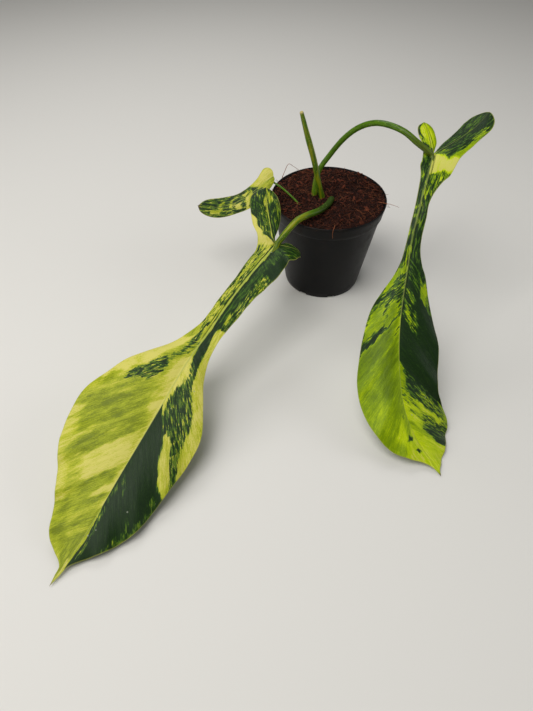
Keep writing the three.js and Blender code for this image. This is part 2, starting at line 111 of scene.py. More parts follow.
LEAVES = {
    "leaf_front": {
        "midrib": [(-55, -67, 92), (-76, -97, 86), (-97, -128, 77), (-115, -157, 67), (-133, -184, 57),
                   (-159, -235, 41), (-184, -283, 25), (-201, -317, 14), (-217, -344, 5.5),
                   (-226, -359, 1.8)],
        "roll": [(0, 0), (60, 0), (140, 15), (270, 15), (350, 4)],
        "rib": 4.6, "droop": 5, "crown": 0.045, "wave": (1.6, 46),
        "right": [(14, 15), (37, 13.5), (60, 11), (84, 11.5), (110, 11.5), (136, 21), (156, 38), (169, 49),
                  (186, 57), (206, 65), (229, 66), (248, 62.5), (264, 55), (280, 45.5), (300, 36.5),
                  (314, 30.5), (324, 24), (330, 15), (333.5, 6.6), (337, 2.7), (343, 1.7), (351, 0)],
        "left": [(14, 22), (30, 24), (48, 20.5), (66, 18.5), (94, 14.5), (121, 13), (138, 15.5), (158, 22),
                 (177, 31.5), (202, 43), (225, 44), (250, 41), (270, 38), (290, 33.5), (306, 24.5),
                 (318, 15.5), (327, 7.8), (334, 3), (342, 1.6), (351, 0)],
        "lead": {"right": [(0, .6), (156, .6), (206, .95), (260, 1.15)],
                 "left": [(0, .6), (121, .8), (177, .95), (225, 1.35), (260, 1.5)]},
        "arms": {
            "right": {
                "vein": [(-55, -67, 92), (-58.5, -62.5, 96.5), (-61, -51, 103), (-64, -31, 111.5),
                         (-65.5, -9, 120)],
                "inner": [(14, 14), (26, 16.5), (40, 17), (53, 16.5), (61, 12.5), (64.5, 6), (65.7, 0)],
                "outer": [(0, 0), (7, 2.2), (14, 6), (22, 9.5), (34, 12.5), (46, 12.5), (57, 10), (63, 5),
                          (65.7, 0)],
            },
            "left": {
                "vein": [(-55, -67, 92), (-47, -69.3, 92.3), (-40, -70.7, 91.2), (-34.3, -71.2, 88),
                         (-31.4, -71.8, 84.2), (-31.8, -72.8, 80.5)],
                "across": (0, -1, 0),
                "inner": [(15, 18), (18.5, 15.5), (22, 12), (25, 8), (28, 3.8), (30, 0)],
                "outer": [(0, 0), (4, 3.4), (8, 6.4), (13.5, 6.2), (20, 4.6), (26, 2.6), (30, 0)],
            },
        },
        "ground": "lime",
        "patches": {
            "right": [
                # the arm over the pot, and its yellow band
                ("greyed", (-70, 0)), ("mottled", (-52, -46, .3, .8)), ("flecked", (-54, -42, -.1, .2)),
                ("lime", (-48, -8, -.1, .05)), ("flecked", (-42, -30, .05, .16)),
                ("blotch", (-40, -12, .1, .5)), ("mottled", (-14, -8, .3, .62)),
                ("cream", [(-23, 1.2), (-21, .86), (-18, .74), (-12, .72), (-8, .58), (-5, .66),
                    (-4.5, .2), (-1, .1), (3, .3), (1.5, 1.2)]),
                # the waist, image left
                ("sprinkled", (4, 108, .26, 1.2)), ("flecked", (60, 108, .44, 1.2)),
                ("blotch", (10, 64, .78, 1.2)), ("mottled", (2, 17, .46, 1.2)),
                ("flecked", (17, 58, .58, .9)), ("greyed", (26, 54, .84, 1.2)),
                ("flecked", (2, 17, .2, .46)), ("mottled", (38, 57, .18, .62)),
                ("mottled", (66, 81, .16, .56)), ("dark", (3, 104, .12, .19)),
                ("flecked", (58, 66, .1, .5)), ("flecked", (84, 100, .14, .4)),
                ("mottled", [(94, .95), (99, .98), (106, .7), (112, .62), (118, .36), (114, .3),
                    (104, .5), (96, .8)]),
                ("blotch", [(110, .56), (119, .46), (128, .32), (138, .27), (139, .12), (129, .1),
                    (119, .2), (112, .34)]), ("mottled", (124, 142, .01, .08)),
                ("cream", (119, 141, .46, 1.2)),
                ("blotch", [(140, .54), (143, .64), (149, .6), (153, .44), (157, .3), (151, .18),
                    (144, .17), (138, .26), (137, .4)]),
                # the wide blade, image left
                ("olive", [(152, .8), (163, .86), (180, .84), (200, .9), (212, .8), (214, .2), (196, .14),
                    (186, .24), (166, .22), (159, .34), (154, .5)]), ("lime", (158, 164, .3, .6)),
                ("lime", (188, 194, .2, .9)), ("cream", (142, 192, -.1, .13)),
                ("cream", (160, 168, .88, 1.2)),
                ("cream", [(213, .08), (217, .7), (226, .74), (236, .7), (247, .6), (248, .05)]),
                ("olive", [(247, .1), (247, .5), (252, .66), (262, .62), (265, .4), (262, .06)]),
                ("olive", [(252, .75), (262, .92), (284, .96), (302, .9), (296, .7), (270, .66)]),
                ("cream", (190, 326, -.1, .045)), ("bright", (170, 258, .88, 1.2)),
                ("cream", (264, 271, -.1, .34)), ("olive", (270, 278, .2, .6)),
                ("olive", [(284, -.1), (288, .5), (300, .8), (340, .9), (352, .5), (352, -.1)]),
                ("lime", (294, 304, .1, .6)), ("cream", (328, 352, -.1, .2)),
            ],
            "right outer": [
                ("greyed", (-70, 0)), ("blotch", (-50, -20, .5, 1)), ("flecked", (-66, -44, .1, .6)),
            ],
            "left": [
                # image right, from the waist to the tip
                # the third patch here, on the waist's dark band, is painted sheen: a lighter green where
                # light glances off
                ("greyed", (-60, 150)), ("lime", (4, 150, -.1, .06)), ("dim", (2, 96, .12, .5)),
                # the dark patch on this line, at the margin next to the waist, is painted shade where the
                # margin curls under
                ("blotch", (26, 96, .56, 1.2)), ("mottled", (30, 44, .6, .92)), ("dark", (2, 26, .6, 1.2)),
                ("mottled", (66, 78, .8, .98)), ("lime", (85, 92, .54, .68)), ("dark", (98, 144, .1, .38)),
                ("bright", [(98, .8), (101, .56), (105, .42), (110, .46), (118, .56), (131, .58),
                    (141, .5), (149, .38), (153, .44), (156, .7), (162, .9), (168, 1.2), (98, 1.2)]),
                ("blotch", [(143, .32), (141, .1), (152, .05), (188, .03), (196, .2), (196, .4),
                    (188, .48), (190, .7), (193, .94), (198, 1.2), (178, 1.2), (172, .8), (158, .74),
                    (152, .42)]),
                ("spotted", [(154, .1), (170, .07), (186, .1), (193, .3), (186, .46), (172, .5),
                    (158, .36)]),
                ("cream", [(140, -.1), (142, .12), (150, .16), (166, .08), (192, .05), (194, -.1)]),
                ("bright", [(156, .84), (163, .76), (172, .76), (178, .84), (186, 1.2), (156, 1.2)]),
                ("bright", [(186, .44), (192, .36), (195, .5), (202, .54), (205, .72), (204, .88),
                    (196, .94), (190, .92), (190, .74), (186, .62)]),
                ("dark", [(190, -.1), (195, .3), (196, .48), (204, .54), (207, .8), (204, .96),
                    (196, 1.2), (334, 1.2), (333, .74), (326, .5), (318, .3), (309, .3), (300, .14),
                    (286, .03), (280, -.1)]), ("mottled", (251, 256, .12, .34)),
                ("mottled", (248, 254, .78, .92)),
                ("spotted", [(258, .06), (262, .2), (274, .14), (292, .3), (304, .62), (318, .8),
                    (326, .7), (310, .36), (298, .2), (288, .06)]),
                ("spotted", [(206, .8), (214, 1), (262, 1.1), (290, 1), (270, .84), (236, .9)]),
                ("cream", (330, 352, -.1, .4)), ("dark", (6, 96, .06, .12)),
            ],
            "left outer": [
                ("greyed", (-60, 2)),
            ],
        },
    },
    "leaf_arching": {
        "midrib": [(82, -48, 176), (75, -70, 168), (69, -86, 158), (65, -99, 147), (61, -111, 134),
                   (58, -127, 115), (55, -143, 98), (52, -162, 80), (51, -184, 61), (52, -203, 46),
                   (55, -220, 33), (61, -234, 22), (69, -246, 12.5), (78, -257, 5.5), (84, -268, 1.8)],
        "roll": [(0, 0), (295, 0)],
        "rib": 4, "droop": 10, "crown": 0.05, "wave": (1.5, 40),
        "right": [(7, 8.5), (13, 9), (25, 6.5), (38, 5), (55, 4.2), (72, 4.2), (88, 4.6), (101, 6.5),
                  (115, 11), (130, 19), (145, 26), (166, 31), (187, 34.5), (205, 37.5), (217, 37.5),
                  (230, 35), (244, 31), (257, 25), (268, 15.5), (278, 6.5), (286, 2.2), (295, 0)],
        "left": [(20, 18), (28, 13), (39, 9), (50, 7.2), (62, 7.6), (80, 8), (93, 9.3), (104, 12.5),
                 (112, 16.5), (131, 22.5), (152, 30), (174, 36.5), (200, 37), (218, 36), (238, 41),
                 (255, 44), (267, 41), (275, 32), (280, 20), (286, 8), (290, 2.8), (295, 0)],
        "lead": {"right": [(0, .7), (115, .9), (145, 1.1)], "left": [(0, .7), (110, 1.1), (150, 1.3)]},
        "arms": {
            "right": {
                "vein": [(82, -48, 176), (81, -38, 182), (79, -26, 187), (76.5, -17, 190)],
                "inner": [(6, 8), (13, 8), (20, 8.8), (27, 8.6), (32, 6), (34.5, 0)],
                "outer": [(0, 0), (6, 3), (12, 5.4), (20, 6.2), (27, 5.8), (32, 3.6), (34.5, 0)],
            },
            "left": {
                "vein": [(82, -48, 176), (98, -41, 182), (118, -30, 190), (132.3, -18.5, 199.7)],
                "across": (.5, -.85, .08),
                "inner": [(14, 18.5), (22, 15.8), (32, 14.2), (43, 14), (52, 12.6), (58, 9.4), (61.4, 5.6),
                          (63, 2.4), (63.4, 0)],
                "outer": [(0, 0), (6, 3.5), (16, 8.5), (27, 11.5), (38, 12.8), (48, 14.6), (55, 13.6),
                          (60, 9.6), (62.6, 4.6), (63.4, 0)],
            },
        },
        "ground": "lime", "veil": 0.13, "rib_line": 0.34,
        "shades": ((.08, "#4a6200"), (.46, "#779200"), (.7, "#a6bd00"), (.83, "#bccd0c"), (.91, "#c8c65c")),
        "patches": {
            "right": [
                # the two arms
                ("greyed", (-36, 0)), ("lime", (-36, -27, -.1, .7)),
                ("bright", [(-30, -.1), (-30, .5), (-26, .76), (-18, .76), (-13, .5), (-6, .2), (-6, -.1)]),
                ("flecked", (-14, -6, .3, 1.2)), ("lime", (-4, 2, .1, .7)),
                # the waist
                ("greyed", (1, 104)), ("blotch", (8, 70, .04, .3)), ("mottled", (16, 24, .5, 1.2)),
                ("lime", (50.5, 53, .2, 1.2)), ("lime", (60, 62.5, .2, .8)), ("mottled", (70, 76, .2, 1.2)),
                ("flecked", (86, 100, -.1, .5)),
                # the blade, image left
                ("lime", [(101, .2), (102, .74), (107, .76), (111, .5), (115, .2), (112, .12)]),
                ("blotch", (108, 147.5)), ("lime", (101, 112, .6, .86)),
                ("lime", [(120, .9), (122, .62), (127, .56), (131, .44), (142, .46), (142, .6),
                    (138, .66), (138, .9), (130, .96)]),
                ("lime", [(126, .4), (130, .16), (138, .1), (144, .14), (144, .4), (136, .36)]),
                ("dark", (142, 146, .5, .9)), ("lime", (147.5, 300)), ("mottled", (146, 163, .0, .1)),
                ("olive", (149, 164, .14, 1.2)), ("olive", (168, 204, .1, .5)), ("bright", (246, 300)),
                ("bright", (230, 262, .3, .7)), ("blotch", (229, 234, .12, .22)),
                ("flecked", (217, 224, .02, .08)),
                ("dark", [(243.5, .5), (247.5, .42), (252, .2), (248, .2), (244.5, .32)]),
                ("dark", [(259.5, .54), (264.5, .5), (267.5, .3), (260.5, .32)]),
            ],
            "right outer": [
                ("greyed", (-36, -12, -.1, .8)), ("bright", (-32, -6, -.1, .62)),
            ],
            "left": [
                # the two arms
                ("greyed", (-66, 0)), ("dark", (-66, -36, -.1, .6)), ("blotch", (-40, -30, .5, 1)),
                ("mottled", (-9, 0, -.1, .4)), ("flecked", (-36, -24, .66, .9)),
                ("lime", [(-27, 1.2), (-25, .9), (-14, .8), (-4, .74), (-1, .6), (2, 1.2)]),
                # the waist
                ("greyed", (0, 112)), ("blotch", (20, 56, -.1, .5)), ("flecked", (36, 44, -.1, .5)),
                ("mottled", (6, 36, .42, 1.2)), ("blotch", (62, 68, -.1, .6)), ("lime", (88, 92, -.1, .1)),
                ("cream", [(1, -.1), (0, .3), (1, .6), (-1, .76), (1, 1.2), (5.5, 1.2), (7, .6), (13, .5),
                    (19, .26), (22, -.1)]),
                # the blade, image right
                ("dark", (112, 196)),
                ("lime", [(97.5, .92), (101, .68), (105, .56), (113, .5), (112, .7), (107, .88), (101, 1)]),
                ("mottled", (119, 126, .06, .3)), ("blotch", (130, 148, .04, .4)),
                ("flecked", (136, 143, .1, .22)), ("greyed", (190, 216, .1, 1.2)),
                ("mottled", (197, 209, .34, .86)), ("lime", (189, 212, -.1, .08)),
                ("mottled", (211, 240, .3, 1.2)), ("lime", (190, 213, .9, 1.2)),
                ("mottled", (213, 224, .4, .86)), ("bright", (214, 219, .24, .8)),
                ("flecked", [(208, -.1), (213, .3), (222, .4), (238, .36), (238, -.1)]),
                ("bright", (222, 244, -.1, .3)), ("mottled", (226, 230, .1, .26)),
                ("spotted", [(222, .84), (230, .62), (238, .46), (241.5, .32), (244, .5), (250, .76),
                    (257, .94), (257, 1.2), (220, 1.2)]),
                ("greyed", [(234, .66), (241, .42), (247, .6), (256, .92), (256, 1.1), (238, 1.05)]),
                ("lime", [(238, -.1), (241, .2), (242.5, .34), (245, .5), (251, .76), (258, .94),
                    (258, 1.2), (300, 1.2), (300, -.1)]), ("bright", (250, 300)),
            ],
            "left outer": [
                ("greyed", (-66, 2)), ("blotch", (-56, -38, .1, .4)),
            ],
        },
    },
    "leaf_small": {
        "midrib": [(-57.5, 24, 113), (-65, 20, 109.5), (-76, 16, 102), (-87, 12, 95), (-102, 8, 89.5),
                   (-120, 4, 88), (-138.5, 3, 90.5)],
        "roll": [(0, 35), (90, 35)],
        "rib": 1.8, "droop": 4, "crown": 0.06, "wave": (.7, 24), "trough_shade": 0.0,
        "right": [(0, 0), (-2, 3.4), (-2.4, 7.4), (-.4, 11), (4, 12.6), (10, 10.6), (16, 8.6), (28, 7.4),
                  (42, 7.8), (58, 9.4), (73, 10), (84, 6.4), (90, 0)],
        "left": [(0, 0), (.6, 3), (4, 6), (11, 9), (23, 11.4), (36, 12.4), (50, 11.6), (62, 11.8),
                 (72, 11.4), (80, 9.6), (87, 6), (90, 0)],
        "lead": {"right": [(0, .3), (90, .3)], "left": [(0, .3), (90, .3)]},
        "arms": {},
        "ground": "mottled",
        "patches": {
            "right": [
                ("greyed", (18, 96)),
                ("bright", [(-4, -.1), (17, -.1), (21, .3), (24, .7), (26, 1.2), (-4, 1.2)]),
                ("cream", (2, 20, .6, .96)), ("lime", [(26, .56), (28, .56), (33.5, -.1), (29.5, -.1)]),
                ("cream", [(29, .9), (31, .92), (38, .5), (38, .1), (35, .2), (30, .6)]),
                ("mottled", (38, 46, .2, .8)), ("dark", (30, 50, .82, 1.2)),
                ("lime", [(46, .56), (48, .56), (57, -.1), (53.5, -.1)]),
                ("lime", [(60, .56), (63, .56), (71, -.1), (66.5, -.1)]), ("blotch", (70, 88, .3, .9)),
                ("mottled", (50, 86, .86, 1.2)),
            ],
            "left": [
                ("greyed", (8, 96)),
                ("lime", [(-4, -.1), (20, -.1), (15, .3), (12, .6), (9, 1.2), (-4, 1.2)]),
                ("olive", (2, 9, .2, .8)), ("flecked", (14, 26, .4, 1.2)), ("lime", (28.5, 33.5, -.1, .5)),
                ("cream", (34, 37.5, -.1, 1)), ("blotch", (38, 90)),
                ("cream", [(42, .34), (46, .18), (49.5, .34), (48, .56), (43, .6)]),
                ("lime", (52.5, 56, -.1, .32)), ("lime", (66, 74, .3, .62)),
            ],
        },
    },
}

# How much dark tissue lies over the light one, how pale the light one is, and how broken
# the border between them is, for each kind of patch.
TONES = {
    "dark": (1, .5, .45),
    "greyed": (.6, .5, 1),
    "spotted": (.45, .62, 1.1),
    "blotch": (.22, .66, 1.1),
    "mottled": (-.02, .68, 1.1),
    "sprinkled": (-.22, .6, 1.1),
    "flecked": (-.42, .62, 1),
    "lime": (-1, .5, .35),
    "bright": (-1, .78, .3),
    "olive": (-1, .27, .35),
    # painted sheen: less dark than the full green, standing for the grey sheen of light on a waxy dark band
    "dim": (.36, .5, .3),
    "cream": (-1, .96, .3),
}


def colour(text):
    """sRGB hex as linear RGBA."""
    parts = [int(text[i:i + 2], 16) / 255 for i in (1, 3, 5)]
    return (*[c / 12.92 if c <= 0.04045 else ((c + 0.055) / 1.055) ** 2.4 for c in parts], 1.0)


# ---- sizes and colours that a user would change ----

def swatch(name, text, description):
    return bpy.props.FloatVectorProperty(name=name, description=description, default=colour(text), size=4,
        subtype="COLOR", min=0, max=1)


def length(name, millimetres, description):
    return bpy.props.FloatProperty(name=name, description=description, default=millimetres * MM, min=0,
        subtype="DISTANCE", unit="LENGTH")


class PotSettings(bpy.types.PropertyGroup):
    height: bpy.props.FloatProperty(name="Height", description="From the floor to the lip",
        default=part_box("pot")[1].z, min=0.05, subtype="DISTANCE", unit="LENGTH")
    rim_radius: bpy.props.FloatProperty(name="Rim radius", description="Outside of the collar at the lip",
        default=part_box("pot")[1].x, min=0.02, subtype="DISTANCE", unit="LENGTH")
    base_radius: length("Base radius", BASE_RADIUS, "Outside of the wall at the floor")
    black: swatch("Plastic", "#050506", "Colour of the moulded plastic")


class SoilSettings(bpy.types.PropertyGroup):
    level: length("Level", 102.4, "Height of the soil at the pot's wall")
    crumbs: bpy.props.FloatProperty(name="Crumbs", description="Crumbs on each square metre of soil",
        default=6.2e5, min=0)
    fibres: bpy.props.IntProperty(name="Fibres", description="Coir fibres on each square metre of soil",
        default=36000, min=0)
    brown: swatch("Peat", "#110705", "Colour of the damp peat")
    chip: swatch("Chips", "#5e2d1b", "Colour of the bark chips")
    fibre: swatch("Coir", "#8a5235", "Colour of the coir fibres")


class PetioleSettings(bpy.types.PropertyGroup):
    sides: bpy.props.IntProperty(name="Sides", description="Facets around a petiole", default=28, min=6,
        max=64)
    green: swatch("Skin", "#4f740b", "Colour of the petiole's skin")
    shade: swatch("Streaks", "#2f4a0a", "Colour of its darker streaks")
    brown: swatch("Brown tinge", "#6b5530", "Colour of the tinge near the leaf")
    lime: swatch("Lime stripes", "#8c8f14", "Colour of the paler stripes")
    callus: swatch("Callus", "#b5a86c", "Colour of the healed cut")


class LeafSettings(bpy.types.PropertyGroup):
    thickness: length("Thickness", .6, "Thickness of the blade away from its veins")
    side_vein_spacing: length("Side veins", 8.5, "Spacing of the sunken side veins along the midrib")
    cream: swatch("Cream", "#cec764", "Colour of the palest tissue")
    yellow: swatch("Yellow", "#b8b936", "Colour of the yellow tissue")
    lime: swatch("Lime", "#9aa51e", "Colour of the yellow-green tissue")
    olive: swatch("Olive", "#6b780c", "Colour of the thin green veils")
    green: swatch("Green", "#426618", "Colour of the lighter green flecks")
    dark: swatch("Dark green", "#152a0f", "Colour of the full green tissue")
    rib: swatch("Midrib", "#a9b25c", "Colour of the midrib")


class StageSettings(bpy.types.PropertyGroup):
    floor: swatch("Floor", "#d9d7d2", "Colour of the floor")
    lens: bpy.props.FloatProperty(name="Lens", description="Focal length on a 36 mm sensor", default=27.04,
        min=5, unit="CAMERA")
    pitch: bpy.props.FloatProperty(name="Pitch", description="How far the camera looks down",
        default=math.radians(48.7), subtype="ANGLE")


# ---- node trees ----

def feed(made, links):
    """Gives each named socket of a node a value, an output, or a node's first output in use."""
    for socket, value in links.items():
        if isinstance(value, bpy.types.Node):
            value = next(output for output in value.outputs if output.enabled)
        if isinstance(value, bpy.types.NodeSocket):
            made.id_data.links.new(value, made.inputs[socket])
        else:
            made.inputs[socket].default_value = value


def node(tree, kind, links=None, **settings):
    """Adds a node with its settings and links, as feed takes them."""
    made = tree.nodes.new(kind)
    for name, value in settings.items():
        setattr(made, name, value)
    feed(made, links or {})
    return made


def new_material(name):
    """An empty material, what adds a node to it, and its Principled shader."""
    material = bpy.data.materials.new(name)
    material.use_nodes = True
    material.node_tree.nodes.clear()
    add = partial(node, material.node_tree)
    shader = add("ShaderNodeBsdfPrincipled")
    add("ShaderNodeOutputMaterial", {"Surface": shader})
    return material, add, shader


def object_point(add, scale=1000.0):
    """The point on the object in millimetres, or a multiple of them."""
    coordinates = add("ShaderNodeTexCoord")
    return add("ShaderNodeVectorMath", {0: coordinates.outputs["Object"], "Scale": scale},
        operation="SCALE")


# ---- objects ----

def linked(name, data):
    """A new object in the scene."""
    made = bpy.data.objects.new(name, data)
    bpy.context.scene.collection.objects.link(made)
    return made


def mesh_object(name, points, faces, material, attributes=None):
    """A smooth-shaded mesh object at the origin, from points in millimetres."""
    mesh = bpy.data.meshes.new(name)
    mesh.from_pydata((np.asarray(points) * MM).tolist(), [], faces)
    for key, values in (attributes or {}).items():
        values = np.asarray(values, np.float32)
        kind = "FLOAT_VECTOR" if values.ndim == 2 else "FLOAT"
        mesh.attributes.new(key, kind, "POINT").data.foreach_set(
            "vector" if kind == "FLOAT_VECTOR" else "value", values.ravel())
    mesh.materials.append(material)
    mesh.shade_smooth()
    return linked(name, mesh)


def baked(source, name, tree, inputs):
    """The plain mesh that a node tree makes of an object. The source object is removed."""
    modifier = source.modifiers.new("shape", "NODES")
    modifier.node_group = tree
    sockets = {item.name: item.identifier for item in tree.interface.items_tree if item.in_out == "INPUT"}
    for key, value in inputs.items():
        modifier[sockets[key]] = value
    bpy.context.view_layer.update()
    graph = bpy.context.evaluated_depsgraph_get()
    mesh = bpy.data.meshes.new_from_object(source.evaluated_get(graph), depsgraph=graph)
    if len(mesh.polygons) == 0:
        raise RuntimeError(f"the shape of {name} came out empty")
    bpy.data.objects.remove(source)
    made = linked(name, mesh)
    mesh.name = name
    return made


def settle(piece, slot, *nodes):
    """The piece moves with the pot and stands for these nodes, whose parts are hidden; slot is not used."""
    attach(piece, "root")
    if nodes:
        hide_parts(*nodes)


def shape_tree(name, inputs):
    """A geometry tree with a geometry input and these inputs by name and kind, what adds a node to
    it, and the inputs' sockets."""
    tree = bpy.data.node_groups.new(name, "GeometryNodeTree")
    tree.interface.new_socket("Geometry", in_out="INPUT", socket_type="NodeSocketGeometry")
    for label, kind in inputs.items():
        tree.interface.new_socket(label, in_out="INPUT", socket_type="NodeSocket" + kind)
    tree.interface.new_socket("Geometry", in_out="OUTPUT", socket_type="NodeSocketGeometry")
    add = partial(node, tree)
    return tree, add, add("NodeGroupInput").outputs


def finish_tree(add, geometry, material):
    """Ends a geometry tree with real geometry, smooth shading and a material."""
    real = add("GeometryNodeRealizeInstances", {0: geometry})
    smooth = add("GeometryNodeSetShadeSmooth", {0: real})
    painted = add("GeometryNodeSetMaterial", {0: smooth, "Material": material})
    add("NodeGroupOutput", {0: painted})


# ---- lines and veins ----

SPAN_STEPS = 60        # steps between two given points of a line
FRAME_REACH = 4        # how far on either side a vein's direction is taken


def unit(v):
    return v / np.maximum(np.linalg.norm(v, axis=-1, keepdims=True), 1e-12)


def eased(x):
    """0 below 0, 1 above 1, and a smooth step between."""
    x = np.clip(x, 0, 1)
    return x * x * (3 - 2 * x)


class Line:
    """A smooth line through points, measured along its length."""

    def __init__(self, points):
        p = np.array(points, float)
        q = np.vstack([2 * p[0] - p[1], p, 2 * p[-1] - p[-2]])
        u = np.linspace(0, 1, SPAN_STEPS, endpoint=False)[:, None]
        rows = []
        for a, b, c, d in zip(q, q[1:], q[2:], q[3:]):
            k0, k1, k2 = (max(np.dot(v, v), 1e-8) ** 0.25 for v in (b - a, c - b, d - c))
            m1 = ((b - a) / k0 - (c - a) / (k0 + k1) + (c - b) / k1) * k1
            m2 = ((c - b) / k1 - (d - b) / (k1 + k2) + (d - c) / k2) * k1
            rows.append(b + m1 * u + (3 * (c - b) - 2 * m1 - m2) * u ** 2
                        + (2 * (b - c) + m1 + m2) * u ** 3)
        self.points = np.vstack([*rows, p[-1:]])
        steps = np.linalg.norm(np.diff(self.points, axis=0), axis=1)
        self.along = np.concatenate([[0], np.cumsum(steps)])
        self.length = self.along[-1]

    def at(self, along):
        """The point this far along; before its start the line runs on straight."""
        along = np.asarray(along, float)
        point = np.stack([np.interp(along, self.along, self.points[:, k]) for k in range(3)], -1)
        return point + np.minimum(along, 0)[..., None] * unit(self.points[1] - self.points[0])

    def at_share(self, share):
        """The point at a share of the given points, from 0 to 1."""
        x = np.clip(share, 0, 1) * (len(self.points) - 1)
        i = np.arange(len(self.points))
        return np.stack([np.interp(x, i, self.points[:, k]) for k in range(3)], -1)


class Vein(Line):
    """A line with a way along it, a way to its right and a way up at each distance."""

    def __init__(self, points, roll=((0, 0),), across=None):
        super().__init__(points)
        self.roll = np.array(roll, float)
        self.across = None if across is None else np.array(across, float)

    def frame(self, along):
        along = np.asarray(along, float)
        t = unit(self.at(along + FRAME_REACH) - self.at(along - FRAME_REACH))
        if self.across is None:
            level = unit(np.cross(t, [0.0, 0.0, 1.0]))
        else:
            level = unit(self.across - (t @ self.across)[..., None] * t)
        up = np.cross(level, t)
        roll = np.radians(np.interp(along, self.roll[:, 0], self.roll[:, 1]))[..., None]
        return t, level * np.cos(roll) + up * np.sin(roll), up * np.cos(roll) - level * np.sin(roll)

    def margin(self, rows, side, droop, lead):
        """Where the side veins that end at the margin's points leave the vein, and those points."""
        rows = np.array(rows, float)
        along, half = np.minimum(rows[:, 0], self.length), rows[:, 1:]
        _, b, n = self.frame(along)
        points = self.at(along) + side * half * np.cos(droop) * b - half * np.sin(droop) * n
        lead = np.interp(rows[:, 0], *np.array(lead, float).T)
        return np.clip(rows[:, 0] - lead * np.abs(rows[:, 1]), 0, self.length), points


# ---- leaf blades ----

ROW_SPACING = 1.35     # between the cross rows of a blade's mesh
ROW_COLUMNS = 34
DENSE = 0.25           # step at which roots and margins are first measured
FAN_STEP = 0.25        # least distance between two side veins' roots
FAN_REACH = 6          # how far side veins that leave one point are spread out
ARM_LEAD = [(0, .7), (30, .9)]
NEAR_VEIN = np.array([0, .45, .9, 1.35, 1.9, 2.6])
NEAR_MARGIN = np.array([1.5, .9, .45, .18, 0])
RIPPLE = 0.35          # height of the fine ripple at the margin
FULL_WIDTH = (-.1, 1.2)    # shares of a patch that is as wide as its sheet
FEATHER = 3.2          # width of the border between two tones
RIDGE, TROUGH = 0.16, 0.14    # height of the midrib and depth beside it, as shares of its thickness
QUILT, SINK, GROOVE_WIDTH = 0.03, 0.05, 0.9   # between the side veins, at them, and their width
RIB_BELOW = 1.15       # how far the midrib stands out below, as a share of its half-thickness
MARGIN_THINNESS = 0.35
FULL_WAY = 12          # width from which the columns near the vein and margin keep their places
ARM_RIB, ARM_TAPER = 0.42, 0.85    # an arm's rib at its root, as a share of the midrib, and its taper
ARM_BLEND = 16         # length over which an arm's upward way turns into the midrib's
MARGIN_PACE = 0.8      # how much of the row spacing a margin may take up
ROUNDING = 2e3         # points that agree to this part of a millimetre are one


def margin_shares(roots, dense):
    """How far along the margin the side vein from each root in dense ends, from 0 to 1."""
    roots = roots.copy()
    for i in range(1, len(roots)):
        roots[i] = max(roots[i], roots[i - 1] + FAN_STEP)
    roots[0], roots[-1] = dense[0], dense[-1]
    for i in range(len(roots) - 2, 0, -1):
        roots[i] = min(roots[i], roots[i + 1] - 1e-3)
    share = np.interp(dense, roots, np.linspace(0, 1, len(roots)))
    reach = int(FAN_REACH / DENSE)
    kernel = np.hanning(2 * reach + 1)
    before, after = 2 * share[0] - share[reach:0:-1], 2 * share[-1] - share[-2:-reach - 2:-1]
    padded = np.concatenate([before, share, after])
    return np.clip(np.convolve(padded, kernel / kernel.sum(), "valid"), 0, 1)


def even_roots(dense, *margins):
    """Roots from dense, spaced so that the rows lie close at the vein and at every margin."""
    advance = np.abs(np.diff(dense))
    for margin in margins:
        advance = np.maximum(advance, MARGIN_PACE * np.linalg.norm(np.diff(margin, axis=0), axis=1))
    total = np.concatenate([[0], np.cumsum(advance)])
    count = max(8, round(total[-1] / ROW_SPACING))
    return np.interp(np.linspace(0, total[-1], count + 1), total, dense)


def blade_rows(leaf, midrib, vein, roots, rim, side, name):
    """One sheet of the blade's top: a row of points for each root, from its vein to the margin."""
    point = midrib.at(roots)
    t, _, n = midrib.frame(roots)
    rib = leaf["rib"] / 2 * (1 - np.clip(roots, 0, None) / midrib.length)
    if vein is not None:
        on_arm = (roots < 0)[:, None]
        arm_t, _, arm_n = vein.frame(-roots)
        point = np.where(on_arm, vein.at(-roots), point)
        t = np.where(on_arm, arm_t, t)
        share = eased(0.5 + roots / ARM_BLEND)[:, None]
        if name.endswith("outer"):
            share = np.zeros(on_arm.shape)
        n = unit(arm_n * (1 - share) + n * share)
        arm_rib = ARM_RIB * leaf["rib"] * (1 + roots / vein.length * ARM_TAPER)
        rib = np.where(roots < 0, arm_rib, rib)
    way = rim - point
    width = np.linalg.norm(way, axis=1)
    squeeze = np.minimum(1, width / FULL_WAY)[:, None]
    near, far = NEAR_VEIN * squeeze, width[:, None] - NEAR_MARGIN * squeeze
    middle = near[:, -1:] + (far[:, :1] - near[:, -1:]) * np.linspace(0, 1, ROW_COLUMNS)[1:-1]
    across = np.concatenate([near, middle, far], 1)
    share = across / np.maximum(width[:, None], 1e-9)
    slant = np.linalg.norm(np.cross(unit(way), t), axis=1)[:, None]
    height, wavelength = leaf["wave"]
    crown = leaf["crown"] * width[:, None] * 4 * share * (1 - share)
    wave = height * np.minimum(1, width[:, None] / 30) * share ** 2
    wave = wave * np.sin(2 * np.pi * roots / wavelength)[:, None]
    ripple = RIPPLE * np.minimum(1, width[:, None] / 25) * share ** 3
    ripple = ripple * np.sin(0.33 * roots + 2 * side)[:, None]
    xyz = point[:, None] + way[:, None] * share[..., None] + (crown + wave + ripple)[..., None] * n[:, None]
    shape = across.shape
    return {"xyz": xyz, "across": across, "share": share, "beside": across * slant, "side": side,
        "name": name, "root": np.broadcast_to(roots[:, None], shape),
        "rib": np.broadcast_to(rib[:, None], shape), "width": np.broadcast_to(width[:, None], shape)}


